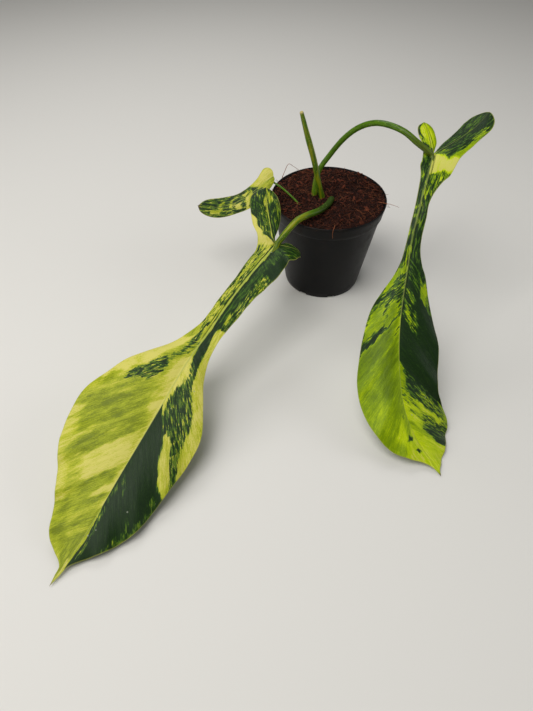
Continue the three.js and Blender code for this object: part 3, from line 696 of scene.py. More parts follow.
def leaf_sheets(leaf):
    """The sheets that make up a leaf's top."""
    midrib = Vein(leaf["midrib"], leaf["roll"])
    droop = math.radians(leaf["droop"])
    blade_dense = np.append(np.arange(0, midrib.length, DENSE), midrib.length)
    halves = []
    for name, side in (("right", 1), ("left", -1)):
        roots, points = midrib.margin(leaf[name], side, droop, leaf["lead"][name])
        arm = leaf["arms"].get(name)
        vein, dense = None, blade_dense
        if arm:
            vein = Vein(arm["vein"], across=arm.get("across"))
            arm_roots, arm_points = vein.margin(arm["inner"], -side, droop, ARM_LEAD)
            roots = np.concatenate([-arm_roots[::-1], roots])
            points = np.vstack([arm_points[::-1], points])
            dense = np.concatenate([np.linspace(-vein.length, 0, int(vein.length / DENSE) + 1)[:-1], dense])
        halves.append((name, side, arm, vein, dense, Line(points).at_share(margin_shares(roots, dense))))
    blade = even_roots(blade_dense, *[rim[dense >= 0] for *_, dense, rim in halves])
    sheets = []
    for name, side, arm, vein, dense, rim in halves:
        roots = blade
        if arm:
            arm_roots = even_roots(dense[dense <= 0], rim[dense <= 0])
            roots = np.concatenate([arm_roots[:-1], blade])
        ends = np.stack([np.interp(roots, dense, rim[:, k]) for k in range(3)], -1)
        sheets.append(blade_rows(leaf, midrib, vein, roots, ends, side, name))
        if arm:
            outer_roots, points = vein.margin(arm["outer"], side, droop, ARM_LEAD)
            outer_dense = np.arange(0, vein.length, DENSE)
            rim = Line(points).at_share(margin_shares(outer_roots, outer_dense))
            back = -arm_roots[::-1]
            ends = np.stack([np.interp(back, outer_dense, rim[:, k]) for k in range(3)], -1)
            sheets.append(blade_rows(leaf, midrib, vein, -back, ends, side, name + " outer"))
    return sheets


def inside_outline(outline, u, v):
    """Distance from each point (u, v) to a closed outline, above zero inside it."""
    corners = np.array(outline, float)
    nearest, inside = np.full(u.shape, 1e9), np.zeros(u.shape, bool)
    for (u0, v0), (u1, v1) in zip(corners, np.roll(corners, -1, axis=0)):
        du, dv = u1 - u0, v1 - v0
        share = np.clip(((u - u0) * du + (v - v0) * dv) / (du * du + dv * dv), 0, 1)
        nearest = np.minimum(nearest, np.hypot(u - u0 - share * du, v - v0 - share * dv))
        if dv:
            inside ^= ((v0 > v) != (v1 > v)) & (u < u0 + (v - v0) / dv * du)
    return np.where(inside, nearest, -nearest)


def patch_tones(sheet, leaf):
    """Dark share, paleness and brokenness at each point of a sheet, from the leaf's patches."""
    tones = np.broadcast_to(np.array(TONES[leaf["ground"]], float), (*sheet["root"].shape, 3)).copy()
    root, share, across = sheet["root"], sheet["share"], sheet["across"]
    # Outlines are measured with the way to the margin drawn in, so that their ends are feathered.
    reach = np.clip(sheet["width"].mean() * 0.55, 4, 20)
    wander = 0.8 * np.sin(0.33 * across + 0.21 * root) + 0.6 * np.sin(0.71 * across - 0.43 * root)
    for tone, outline in leaf["patches"].get(sheet["name"], ()):
        if not isinstance(outline[0], tuple):
            first, last, near, far = (*outline, *FULL_WIDTH)[:4]
            outline = [(first, near), (last, near), (last, far), (first, far)]
        scaled = [(u, v * reach) for u, v in outline]
        inside = inside_outline(scaled, root + wander, share * reach + 0.4 * wander)
        weight = eased(0.5 + inside / FEATHER)[..., None]
        tones = tones * (1 - weight) + np.array(TONES[tone]) * weight
        tones[..., 2:] = np.maximum(tones[..., 2:], 2.4 * weight * (1 - weight))
    return tones


def leaf_mesh(leaf, thickness, vein_spacing):
    """Points, faces and attributes of a leaf with a midrib, sunken side veins and a thin margin."""
    sheets = leaf_sheets(leaf)
    start = 0
    quads = []
    fields = {key: [] for key in ("xyz", "way", "tones", "beside", "share", "root", "rib", "width")}
    for sheet in sheets:
        rows, cols = sheet["share"].shape
        ids = start + np.arange(rows * cols).reshape(rows, cols)
        start += rows * cols
        a, b, c, d = ids[:-1, :-1], ids[:-1, 1:], ids[1:, :-1], ids[1:, 1:]
        order = (a, b, d, c) if sheet["side"] > 0 else (a, c, d, b)
        quads.append(np.stack(order, -1).reshape(-1, 4))
        sheet["tones"] = patch_tones(sheet, leaf)
        offset = 400.0 * (1 + sheet["side"]) + 170.0 * sheet["name"].endswith("outer")
        sheet["way"] = np.stack([sheet["root"], sheet["across"], np.full(sheet["root"].shape, offset)], -1)
        for key, rows_of in fields.items():
            rows_of.append(sheet[key].reshape(rows * cols, -1))
    fields = {key: np.concatenate(values) for key, values in fields.items()}
    quads = np.concatenate(quads)
    cells = np.round(fields["xyz"] * ROUNDING).astype(np.int64)
    _, first, index = np.unique(cells, axis=0, return_index=True, return_inverse=True)
    index = index.reshape(-1)
    fields = {key: values[first] for key, values in fields.items()}
    xyz, count = fields["xyz"], len(first)
    tops = []
    for quad in index[quads]:
        corners = [v for k, v in enumerate(quad) if v != quad[k - 1]]
        if len(corners) > 2 and len(set(corners)) == len(corners):
            tops.append(corners)
    normals = np.zeros_like(xyz)
    for size in (3, 4):
        some = np.array([f for f in tops if len(f) == size], int).reshape(-1, size)
        turn = np.cross(xyz[some[:, 2]] - xyz[some[:, 0]], xyz[some[:, -1]] - xyz[some[:, 1]])
        for k in range(size):
            np.add.at(normals, some[:, k], turn)
    normals = unit(normals)
    beside, rib, share, root, width = (fields[k][:, 0] for k in ("beside", "rib", "share", "root", "width"))
    body = np.minimum(1, width / 10)
    # Top: a low rounded midrib in a shallow trough, side veins sunk between soft quilting.
    ridge = RIDGE * rib * np.exp(-(beside / (0.55 * rib + .15)) ** 2)
    trough = -TROUGH * rib * np.exp(-((beside - 1.3 * rib) / (0.8 * rib + .2)) ** 2)
    phase = root / vein_spacing + 0.12 * np.sin(0.11 * fields["way"][:, 1])
    groove = np.exp(-((np.abs(phase - np.round(phase))) * vein_spacing / GROOVE_WIDTH) ** 2)
    edge = eased(beside / 5) * eased((1 - share) * 5)
    quilt = body * edge * (QUILT * np.cos(2 * np.pi * phase + np.pi) - SINK * groove)
    top = xyz + (ridge + trough + quilt)[:, None] * normals
    # Underside: the blade's thickness, thinner at the margin, and the rounded rib below the vein.
    thin = MARGIN_THINNESS + (1 - MARGIN_THINNESS) * eased((1 - share) * width / 3)
    inside = np.clip(1 - (beside / (rib * RIB_BELOW + .3)) ** 2, 0, None)
    below = thickness * thin + RIB_BELOW * rib * np.sqrt(inside) + body * edge * 0.25 * groove
    below = np.where(width < 0.5, np.minimum(below, thickness), below)
    waist = eased((32 - width) / 14)
    tip = eased((root - root.max() + 5) / 4)
    bottom = top - below[:, None] * normals
    edges = {}
    for face in tops:
        for p, q in zip(face, [*face[1:], face[0]]):
            edges[p, q] = True
    rims = [(q, p, p + count, q + count) for p, q in edges if (q, p) not in edges]
    faces = [*tops, *[[v + count for v in reversed(face)] for face in tops], *rims]
    under = np.concatenate([np.zeros(count), np.ones(count)])
    # The pale line on the midrib is fainter on the arms' veins.
    marks = np.stack([np.tile(beside / (rib + .1) + 0.22 * (root < 0), 2), np.tile((1 - share) * width, 2),
            under], -1)
    attributes = {"vein_way": np.tile(fields["way"], (2, 1)), "tones": np.tile(fields["tones"], (2, 1)),
        "marks": marks, "waist": np.tile(waist, 2), "tip": np.tile(tip, 2)}
    return np.vstack([top, bottom]), faces, attributes


# ---- materials ----

LIGHT_STEPS = (0.08, 0.46, 0.7, 0.94)     # places of olive, lime, yellow and cream in the light tissue
# How much two noises that follow the side veins and their grain add to a veil in the light tissue.
FINE_SHARE, GRAIN_SHARE = 0.75, 0.54
MARGIN_LINE, UNDERSIDE, DUST, DRY_TIP = "#a8aa50", "#8fa05c", "#9aa08c", "#4a2a22"
# The first of these is the colour of the painted shade on a petiole's lower part near the soil.
PETIOLE_FOOT_SHADE, PETIOLE_DOTS, PEAT_DUST = "#1d2f0a", "#a9b562", "#4a3a32"


def leaf_blade(name, settings, shades, veil, trough_shade, rib):
    """Variegated aroid leaf: a thin waxy skin over patchy tissue. Satin, with a soft sheen on the
    dark parts, side veins as fine lines, and paler and duller below. Shades are those of the light
    tissue, veil is how strongly they drift into each other, grooves how dark the painted shade in the
    trough beside the waist's midrib is, and rib how pale the midrib is."""
    material, add, shader = new_material(name)
    way = add("ShaderNodeAttribute", attribute_name="vein_way").outputs["Vector"]
    tones, marks = (
        add("ShaderNodeSeparateXYZ", {
            0: add("ShaderNodeAttribute", attribute_name=key).outputs["Vector"]}).outputs
        for key in ("tones", "marks"))
    narrow = add("ShaderNodeAttribute", attribute_name="waist").outputs["Fac"]

    def streaks(blade, waist, shift, detail=4.0):
        """Noise from -1 to 1, drawn out along the side veins, and along the midrib in the waist.
        Blade and waist are the width and length of a streak in millimetres."""
        values = []
        for scale in ((1 / blade[0], 1 / blade[1], 1), (1 / waist[1], 1 / waist[0], 1)):
            place = add("ShaderNodeMapping", {0: way, "Location": (shift, shift, shift), "Scale": scale})
            values.append(add("ShaderNodeTexNoise", {"Vector": place, "Scale": 1.0, "Detail": detail,
                        "Roughness": 0.62}))
        mixed = add("ShaderNodeMix", {0: narrow, 2: values[0], 3: values[1]})
        return add("ShaderNodeMapRange", {0: mixed, 1: 0.34, 2: 0.66, 3: -1.0, 4: 1.0}, clamp=False)

    # Two layers of tissue may each be green or not.
    upper, lower = streaks((2.1, 9), (1.9, 8.5), 0.0, 3.0), streaks((1.5, 7), (1.3, 6), 40.0)
    fine = streaks((0.8, 11), (0.7, 7), 80.0, 2.0)
    veils = streaks((9.0, 26), (4.0, 20), 120.0, 6.0)
    grain = streaks((0.75, 1.5), (0.7, 1.3), 160.0, 2.0)
    broken = add("ShaderNodeMath", {0: upper, 1: tones[2]}, operation="MULTIPLY")
    level = add("ShaderNodeMath", {0: broken, 1: tones[0]}, operation="ADD")
    full = add("ShaderNodeMapRange", {0: level, 1: -0.06, 2: 0.1}, interpolation_type="SMOOTHSTEP")
    loose = add("ShaderNodeMath", {0: lower, 1: tones[2], 2: 0.06}, operation="MULTIPLY_ADD")
    second = add("ShaderNodeMath", {0: loose, 1: tones[0]}, operation="ADD")
    thin = add("ShaderNodeMapRange", {0: second, 1: -0.1, 2: 0.12}, interpolation_type="SMOOTHSTEP")
    # The light tissue, from olive veils through lime to cream.
    pale = tones[1]
    for drift, strength in ((veils, veil), (fine, FINE_SHARE * veil), (grain, GRAIN_SHARE * veil)):
        pale = add("ShaderNodeMath", {0: drift, 1: strength, 2: pale}, operation="MULTIPLY_ADD")
    light = add("ShaderNodeValToRGB", {0: pale})
    steps = light.color_ramp.elements
    while len(steps) < len(shades):
        steps.new(1.0)
    for step, (place, shade) in zip(steps, shades):
        step.position, step.color = place, shade
    # One green layer alone gives mid green, both give the dark green.
    depth = add("ShaderNodeMapRange", {0: veils, 1: -1.0, 2: 1.0, 3: 0.75, 4: 1.0})
    single = add("ShaderNodeMix", {0: depth, 6: light, 7: tuple(settings.green)}, data_type="RGBA")
    washed = add("ShaderNodeMix", {0: thin, 6: light, 7: single}, data_type="RGBA")
    deep = add("ShaderNodeMapRange", {0: level, 1: 0.03, 2: 0.6, 3: 0.1, 4: 1.0},
        interpolation_type="SMOOTHSTEP")
    deep = add("ShaderNodeMath", {0: fine, 1: 0.16, 2: deep}, operation="MULTIPLY_ADD")
    deep = add("ShaderNodeMath", {0: grain, 1: 0.14, 2: deep}, operation="MULTIPLY_ADD", use_clamp=True)
    green = add("ShaderNodeMix", {0: deep, 6: tuple(settings.green), 7: tuple(settings.dark)},
        data_type="RGBA")
    tissue = add("ShaderNodeMix", {0: full, 6: washed, 7: green}, data_type="RGBA")
    # The midrib between two lines of painted shade in the trough beside it, which only the waist
    # has, and a hair-thin pale margin.
    aside = add("ShaderNodeMath", {0: marks[0], 1: 1.0, 2: 0.3}, operation="COMPARE")
    painted_trough_shade = add("ShaderNodeMath", {0: aside, 1: narrow}, operation="MULTIPLY")
    painted_trough_shade = add("ShaderNodeMath", {0: painted_trough_shade, 1: trough_shade}, operation="MULTIPLY")
    on_rib = add("ShaderNodeMapRange", {0: marks[0], 1: 0.6, 2: 0.2, 3: 0.0, 4: rib},
        interpolation_type="SMOOTHSTEP")
    on_margin = add("ShaderNodeMapRange", {0: marks[1], 1: 0.8, 2: 0.25, 3: 0.0, 4: 0.6})
    for factor, shade in ((painted_trough_shade, tuple(settings.dark)), (on_rib, tuple(settings.rib)),
                          (on_margin, colour(MARGIN_LINE))):
        tissue = add("ShaderNodeMix", {0: factor, 6: tissue, 7: shade}, data_type="RGBA")
    dull = add("ShaderNodeMix", {0: 0.5, 6: tissue, 7: colour(UNDERSIDE)}, data_type="RGBA")
    # A few specks of dust, half a millimetre across, and the dry brown tip.
    cells = add("ShaderNodeTexVoronoi", {"Vector": object_point(add, 1000 / 14), "Scale": 1.0})
    speck = add("ShaderNodeMapRange", {0: cells.outputs["Distance"], 1: 0.03, 2: 0.055, 3: 0.75, 4: 0.0})
    dry = add("ShaderNodeMath", {0: add("ShaderNodeAttribute", attribute_name="tip").outputs["Fac"],
            1: 0.75}, operation="MULTIPLY")
    for factor, shade in ((marks[2], dull), (speck, colour(DUST)), (dry, colour(DRY_TIP))):
        tissue = add("ShaderNodeMix", {0: factor, 6: tissue, 7: shade}, data_type="RGBA")
    # Waxy skin: fine lines that run along the side veins, and a faint pebble.
    pebble = add("ShaderNodeTexNoise", {"Vector": object_point(add, 900.0), "Scale": 1.0, "Detail": 2.0})
    lines = add("ShaderNodeBump", {"Strength": 0.25, "Distance": 0.0003, "Height": fine})
    skin = add("ShaderNodeBump", {"Strength": 0.12, "Distance": 0.0002, "Height": pebble, "Normal": lines})
    gloss = add("ShaderNodeMapRange", {0: veils, 1: -1.0, 2: 1.0, 3: 0.36, 4: 0.46})
    rough = add("ShaderNodeMix", {0: marks[2], 2: gloss, 3: 0.62})
    feed(shader, {"Base Color": tissue, "Normal": skin, "Roughness": rough, "Specular IOR Level": 0.18,
            "IOR": 1.46, "Subsurface Weight": 0.06, "Subsurface Radius": (0.001, 0.0012, 0.0003)})
    return material


def petiole_skin(settings):
    """Smooth green stalk of an aroid: waxy skin with fine lengthwise streaks, browner near the
    leaf, and a dry tan callus where it was cut."""
    material, add, shader = new_material("petiole_skin")
    skin = add("ShaderNodeSeparateXYZ", {0: add("ShaderNodeAttribute",
                attribute_name="skin").outputs["Vector"]}).outputs
    around = add("ShaderNodeMath", {0: skin[1], 1: 2 * math.pi}, operation="MULTIPLY")
    ring = add("ShaderNodeCombineXYZ", {0: add("ShaderNodeMath", {0: around}, operation="SINE"),
            1: add("ShaderNodeMath", {0: around}, operation="COSINE"),
            2: add("ShaderNodeMath", {0: skin[0], 1: 1 / 30}, operation="MULTIPLY")})
    streaks = add("ShaderNodeTexNoise", {"Vector": ring, "Scale": 4.5, "Detail": 4.0, "Roughness": 0.6})
    streaked = add("ShaderNodeMapRange", {0: streaks, 1: 0.4, 2: 0.66}, interpolation_type="SMOOTHSTEP")
    bands = add("ShaderNodeTexNoise", {"Vector": ring, "Scale": 1.3, "Detail": 3.0})
    limy = add("ShaderNodeMapRange", {0: bands, 1: 0.44, 2: 0.6}, interpolation_type="SMOOTHSTEP")
    share = add("ShaderNodeAttribute", attribute_name="lime").outputs["Fac"]
    limed = add("ShaderNodeMath", {0: limy, 1: share}, operation="MULTIPLY", use_clamp=True)
    # The lime attribute below zero gives painted shade: the skin darkened towards the shade colour near the
    # soil.
    shaded = add("ShaderNodeMath", {0: share, 1: -0.75}, operation="MULTIPLY", use_clamp=True)
    specks = add("ShaderNodeTexVoronoi", {"Vector": object_point(add, 1000 / 3.2), "Scale": 1.0})
    dots = add("ShaderNodeMapRange", {0: specks.outputs["Distance"], 1: 0.12, 2: 0.2, 3: 0.35, 4: 0.0})
    tan = add("ShaderNodeAttribute", attribute_name="callus").outputs["Fac"]
    surface = tuple(settings.green)
    for factor, shade in ((streaked, settings.shade), (limed, settings.lime),
                          (shaded, colour(PETIOLE_FOOT_SHADE)), (dots, colour(PETIOLE_DOTS)),
                          (skin[2], settings.brown), (tan, settings.callus)):
        surface = add("ShaderNodeMix", {0: factor, 6: surface, 7: tuple(shade)}, data_type="RGBA")
    rough = add("ShaderNodeMapRange", {0: tan, 3: 0.36, 4: 0.8})
    bump = add("ShaderNodeBump", {"Strength": 0.2, "Distance": 0.0003, "Height": streaks})
    feed(shader, {"Base Color": surface, "Roughness": rough, "Normal": bump, "Specular IOR Level": 0.27,
            "IOR": 1.45})
    return material


def pot_plastic(settings):
    """Moulded polypropylene, black: satin with a fine spark-eroded grain, duller near the lip
    where peat dust and dried water have settled."""
    material, add, shader = new_material("pot_plastic")
    point = object_point(add)
    grain = add("ShaderNodeTexNoise", {"Vector": point, "Scale": 1.8, "Detail": 3.0})
    dust = add("ShaderNodeTexNoise", {"Vector": point, "Scale": 0.09, "Detail": 6.0, "Roughness": 0.7})
    height = add("ShaderNodeSeparateXYZ", {0: point}).outputs["Z"]
    high = add("ShaderNodeMapRange", {0: height, 1: 60.0, 2: POT_HEIGHT, 3: 0.15, 4: 0.7})
    patches = add("ShaderNodeMapRange", {0: dust, 1: 0.48, 2: 0.75})
    film = add("ShaderNodeMath", {0: high, 1: patches}, operation="MULTIPLY")
    film = add("ShaderNodeMath", {0: film, 1: 0.35}, operation="MULTIPLY")
    dusty = add("ShaderNodeMix", {0: film, 6: tuple(settings.black), 7: colour(PEAT_DUST)},
        data_type="RGBA")
    rough = add("ShaderNodeMapRange", {0: film, 1: 0.0, 2: 0.2, 3: 0.42, 4: 0.75})
    bump = add("ShaderNodeBump", {"Strength": 0.12, "Distance": 0.0002, "Height": grain})
    feed(shader, {"Base Color": dusty, "Roughness": rough, "Normal": bump, "Specular IOR Level": 0.18,
            "IOR": 1.49})
    return material


def earthy(name, dark, light, pitch):
    """Damp organic matter, matt and uneven: each crumb, chip or fibre has its own shade, from the
    attribute tint, over a mottle of this pitch in millimetres."""
    material, add, shader = new_material(name)
    tint = add("ShaderNodeAttribute", attribute_name="tint").outputs["Fac"]
    mottle = add("ShaderNodeTexNoise", {"Vector": object_point(add, 1000 / pitch), "Scale": 1.0,
            "Detail": 5.0, "Roughness": 0.65})
    spread = add("ShaderNodeMapRange", {0: mottle, 1: 0.35, 2: 0.7, 3: -0.25, 4: 0.35})
    shade = add("ShaderNodeMath", {0: spread, 1: tint}, operation="ADD", use_clamp=True)
    mixed = add("ShaderNodeMix", {0: shade, 6: dark, 7: light}, data_type="RGBA")
    bump = add("ShaderNodeBump", {"Strength": 0.6, "Distance": 0.0004, "Height": mottle})
    feed(shader, {"Base Color": mixed, "Normal": bump, "Roughness": 0.88, "Specular IOR Level": 0.25,
            "IOR": 1.4})
    return material


# ---- the pot ----

COLLAR_HEIGHT = 14
COLLAR_STEP = 1.7
LIP_WIDTH = 1.6
WALL = 1.4
FLOOR = 2
POT_SEGMENTS = 192
HOLE_RADIUS, HOLE_CIRCLE, SLOT_SIZE = 4.5, 27, (9, 8, 4.5)
GAP = 0.35             # between the pot and the soil


def inner_radius(z):
    """The pot's inside radius at a height."""
    top, bottom = RIM_RADIUS - LIP_WIDTH, BASE_RADIUS - WALL
    return bottom + (top - bottom) * (z - FLOOR) / (POT_HEIGHT - FLOOR)


def lathe(profile, segments):
    """Points and faces of a profile of (radius, height) turned about Z. The profile starts and
    ends on the axis."""
    angles = np.arange(segments) * 2 * np.pi / segments
    ring = np.stack([np.cos(angles), np.sin(angles)], -1)
    points, faces = [(0, 0, profile[0][1])], []
    for radius, z in profile[1:-1]:
        points += [(radius * c, radius * s, z) for c, s in ring]
    points.append((0, 0, profile[-1][1]))
    last, rings = len(points) - 1, len(profile) - 2
    for k in range(segments):
        after = (k + 1) % segments
        faces.append((0, 1 + after, 1 + k))
        for i in range(rings - 1):
            a, b = 1 + i * segments + k, 1 + i * segments + after
            faces.append((a, b, b + segments, a + segments))
        faces.append((last, last - segments + k, last - segments + after))
    return points, faces


def opening_tree(material):
    """Cuts the drain holes in the floor and the slots in the lower edge out of the turned pot."""
    tree, add, given = shape_tree("pot_openings", {
        "Hole radius": "Float", "Hole circle": "Float", "Holes": "Int", "Slots": "Int",
        "Slot circle": "Float", "Slot size": "Vector"})
    hole = add("GeometryNodeMeshCylinder", {"Vertices": 32, "Radius": given["Hole radius"], "Depth": 0.008})
    slot = add("GeometryNodeMeshCube", {"Size": given["Slot size"]})
    cutters = []
    for count, circle, turn, cutter in (
            (given["Holes"], given["Hole circle"], math.radians(30), hole),
            (given["Slots"], given["Slot circle"], math.radians(11.25), slot)):
        ring = add("GeometryNodeMeshCircle", {"Vertices": count, "Radius": circle})
        index = add("GeometryNodeInputIndex")
        share = add("ShaderNodeMath", {0: index, 1: count}, operation="DIVIDE")
        angle = add("ShaderNodeMath", {0: share, 1: 2 * math.pi}, operation="MULTIPLY")
        spin = add("ShaderNodeCombineXYZ", {2: angle})
        placed = add("GeometryNodeInstanceOnPoints", {"Points": ring, "Instance": cutter, "Rotation": spin})
        turned = add("GeometryNodeTransform", {0: placed, "Rotation": (0, 0, turn)})
        cutters.append(add("GeometryNodeRealizeInstances", {0: turned}))
    joined = add("GeometryNodeJoinGeometry")
    for cutter in cutters:
        feed(joined, {0: cutter})
    cut = add("GeometryNodeMeshBoolean", {0: given["Geometry"], 1: joined}, operation="DIFFERENCE",
        solver="EXACT")
    real = add("GeometryNodeRealizeInstances", {0: cut})
    painted = add("GeometryNodeSetMaterial", {0: real, "Material": material})
    add("NodeGroupOutput", {0: painted})
    return tree


class OBJECT_OT_add_nursery_pot(bpy.types.Operator):
    """Makes the tapered nursery pot with its collar, drain holes and edge slots"""
    bl_idname = "object.add_nursery_pot"
    bl_label = "Nursery pot"

    def execute(self, context):
        settings = context.scene.joepii_pot
        height, rim, base = (v / MM for v in (settings.height, settings.rim_radius, settings.base_radius))
        foot = height - COLLAR_HEIGHT
        wall = base + (rim - COLLAR_STEP - base) * foot / height
        profile = [(0, 0), (base - 1.2, 0), (base - .5, .15), (base, .7)]
        profile += [(base + (wall - base) * s / 14, .7 + (foot - 1 - .7) * s / 14) for s in range(1, 15)]
        profile += [(wall + .12, foot - .4), (wall + .5, foot), (wall + COLLAR_STEP - .3, foot + .2),
            (wall + COLLAR_STEP, foot + .7)]
        profile += [(wall + COLLAR_STEP + (rim - wall - COLLAR_STEP) * s / 4,
                foot + .7 + (COLLAR_HEIGHT - 1.5) * s / 4) for s in range(1, 5)]
        profile += [(rim - .15, height - .35), (rim - .5, height - .05), (rim - .8, height),
            (rim - LIP_WIDTH + .3, height - .05), (rim - LIP_WIDTH, height - .4)]
        profile += [(inner_radius(z), z) for z in (96, 80, 60, 40, 20, 3.2)]
        profile += [(inner_radius(FLOOR) - .4, FLOOR + .25), (inner_radius(FLOOR) - 1.2, FLOOR), (0, FLOOR)]
        material = pot_plastic(settings)
        points, faces = lathe(profile, POT_SEGMENTS)
        turned = mesh_object("pot_turned", points, faces, material)
        pot = baked(turned, "pot_shell", opening_tree(material),
            {"Hole radius": HOLE_RADIUS * MM, "Hole circle": HOLE_CIRCLE * MM, "Holes": 6, "Slots": 8,
                "Slot circle": base * MM, "Slot size": tuple(s * MM for s in SLOT_SIZE)})
        pot.data.shade_smooth()
        pot.data.set_sharp_from_angle(angle=math.radians(35))
        settle(pot, "pot_plastic", "pot")
        return {"FINISHED"}


# ---- the soil ----

HOLLOW = {"x": -46, "y": -6, "depth": 3.5, "radius": 7}
HEAP = 2.6             # how far the middle stands above the edge
SOIL_RINGS, SOIL_SEGMENTS = 104, 300
EDGE_DROP = 1.5        # how far the soil's edge may lie below its level
EDGE_CRUMBS = 0.2      # height of the crumbs at the edge, as a share of that elsewhere
FULL_TURN = 6.283      # greatest turn of a crumb or fibre


def soil_level(x, y, level):
    """Height of the soil, as broad lumps and a small hollow."""
    edge = inner_radius(level)
    heap = HEAP * (1 - (x * x + y * y) / (edge * edge))
    lumps = 0.7 * np.sin(0.21 * x + 1.3) * np.cos(0.17 * y) + 0.5 * np.sin(0.37 * x - 0.29 * y)
    lumps = lumps + 0.35 * np.sin(0.61 * x + 0.47 * y + 2)
    reach = np.hypot(x - HOLLOW["x"], y - HOLLOW["y"]) / HOLLOW["radius"]
    return level + heap + lumps - HOLLOW["depth"] * np.exp(-reach * reach)


def crumbly(x, y):
    """Height of the crumbs that the soil is packed from, at a point in millimetres."""
    at = Vector((x, y, 0))
    return (1.1 * (noise.noise(at / 4.5) + 0.5 * noise.noise(at / 2.1) + 0.35 * noise.noise(at / 1.05))
        + 0.5 * (0.5 - noise.voronoi(at / 2.6)[0][0]))


def crumb(name, stretch, seed):
    """A small lump to scatter: a rounded stone-like shape with uneven sides."""
    mesh = bpy.data.meshes.new(name)
    shape = bmesh.new()
    bmesh.ops.create_icosphere(shape, subdivisions=1, radius=0.5)
    for vertex in shape.verts:
        vertex.co *= 0.85 + 0.5 * noise.noise(vertex.co * 2.3 + Vector((seed, 0, 0)))
        vertex.co = Vector([c * s for c, s in zip(vertex.co, stretch)])
    shape.to_mesh(mesh)
    shape.free()
    return linked(name, mesh)


def scatter_tree(name, material, piece):
    """Scatters copies of a lump over a surface, each with its own size, turn and shade."""
    tree, add, given = shape_tree(name, {
        "Density": "Float", "Least size": "Float", "Greatest size": "Float", "Lift": "Float", "Seed": "Int",
        "Darkest": "Float", "Lightest": "Float", "Tilt": "Float"})
    points = add("GeometryNodeDistributePointsOnFaces",
        {"Mesh": given["Geometry"], "Density": given["Density"], "Seed": given["Seed"]})
    source = add("GeometryNodeObjectInfo", {0: piece})
    size = add("FunctionNodeRandomValue", {2: given["Least size"], 3: given["Greatest size"],
            "ID": add("GeometryNodeInputIndex"), "Seed": 3}, data_type="FLOAT")
    tilt = add("ShaderNodeVectorMath", {0: (1, 1, 0), "Scale": given["Tilt"]}, operation="SCALE")
    most = add("ShaderNodeVectorMath", {0: tilt, 1: (0, 0, FULL_TURN)}, operation="ADD")
    least = add("ShaderNodeVectorMath", {0: tilt, "Scale": -1.0}, operation="SCALE")
    turn = add("FunctionNodeRandomValue", {0: least, 1: most, "Seed": 5}, data_type="FLOAT_VECTOR")
    placed = add("GeometryNodeInstanceOnPoints", {"Points": points, "Instance": source.outputs["Geometry"],
            "Rotation": turn, "Scale": size})
    lift = add("ShaderNodeCombineXYZ", {2: given["Lift"]})
    raised = add("GeometryNodeTranslateInstances", {0: placed, "Translation": lift, "Local Space": False})
    shade = add("FunctionNodeRandomValue", {2: given["Darkest"], 3: given["Lightest"], "Seed": 7},
        data_type="FLOAT")
    tinted = add("GeometryNodeStoreNamedAttribute", {0: raised, "Name": "tint", "Value": shade},
        data_type="FLOAT", domain="INSTANCE")
    finish_tree(add, tinted, material)
    return tree


def fibre_tree(material):
    """Scatters thin curled fibres that lie on a surface and lift their ends a little."""
    tree, add, given = shape_tree("coir_fibres", {
        "Density": "Float", "Length": "Float", "Radius": "Float", "Curl": "Float", "Seed": "Int"})
    points = add("GeometryNodeDistributePointsOnFaces",
        {"Mesh": given["Geometry"], "Density": given["Density"], "Seed": given["Seed"]})
    half = add("ShaderNodeMath", {0: given["Length"], 1: 0.5}, operation="MULTIPLY")
    back = add("ShaderNodeMath", {0: half, 1: -1.0}, operation="MULTIPLY")
    line = add("GeometryNodeCurvePrimitiveLine", {"Start": add("ShaderNodeCombineXYZ", {0: back}),
            "End": add("ShaderNodeCombineXYZ", {0: half})})
    fine = add("GeometryNodeResampleCurve", {"Curve": line, "Count": 11})
    turn = add("FunctionNodeRandomValue", {0: (-0.16, -0.16, 0), 1: (0.16, 0.16, FULL_TURN), "Seed": 4},
        data_type="FLOAT_VECTOR")
    size = add("FunctionNodeRandomValue", {2: 0.35, 3: 1.3, "Seed": 9}, data_type="FLOAT")
    placed = add("GeometryNodeInstanceOnPoints", {"Points": points, "Instance": fine, "Rotation": turn,
            "Scale": size})
    shade = add("FunctionNodeRandomValue", {2: 0.0, 3: 1.0, "Seed": 8}, data_type="FLOAT")
    tinted = add("GeometryNodeStoreNamedAttribute", {0: placed, "Name": "tint", "Value": shade},
        data_type="FLOAT", domain="INSTANCE")
    real = add("GeometryNodeRealizeInstances", {0: tinted})
    bend = add("ShaderNodeTexNoise", {"Vector": add("GeometryNodeInputPosition"), "Scale": 160.0,
            "Detail": 1.0})
    centred = add("ShaderNodeVectorMath", {0: bend.outputs[1], 1: (.5, .5, .42)}, operation="SUBTRACT")
    curl = add("ShaderNodeVectorMath", {0: centred, "Scale": given["Curl"]}, operation="SCALE")
    curled = add("GeometryNodeSetPosition", {0: real, "Offset": curl})
    profile = add("GeometryNodeCurvePrimitiveCircle", {"Resolution": 4, "Radius": given["Radius"]})
    tubes = add("GeometryNodeCurveToMesh", {"Curve": curled, "Profile Curve": profile, "Fill Caps": True})
    finish_tree(add, tubes, material)
    return tree


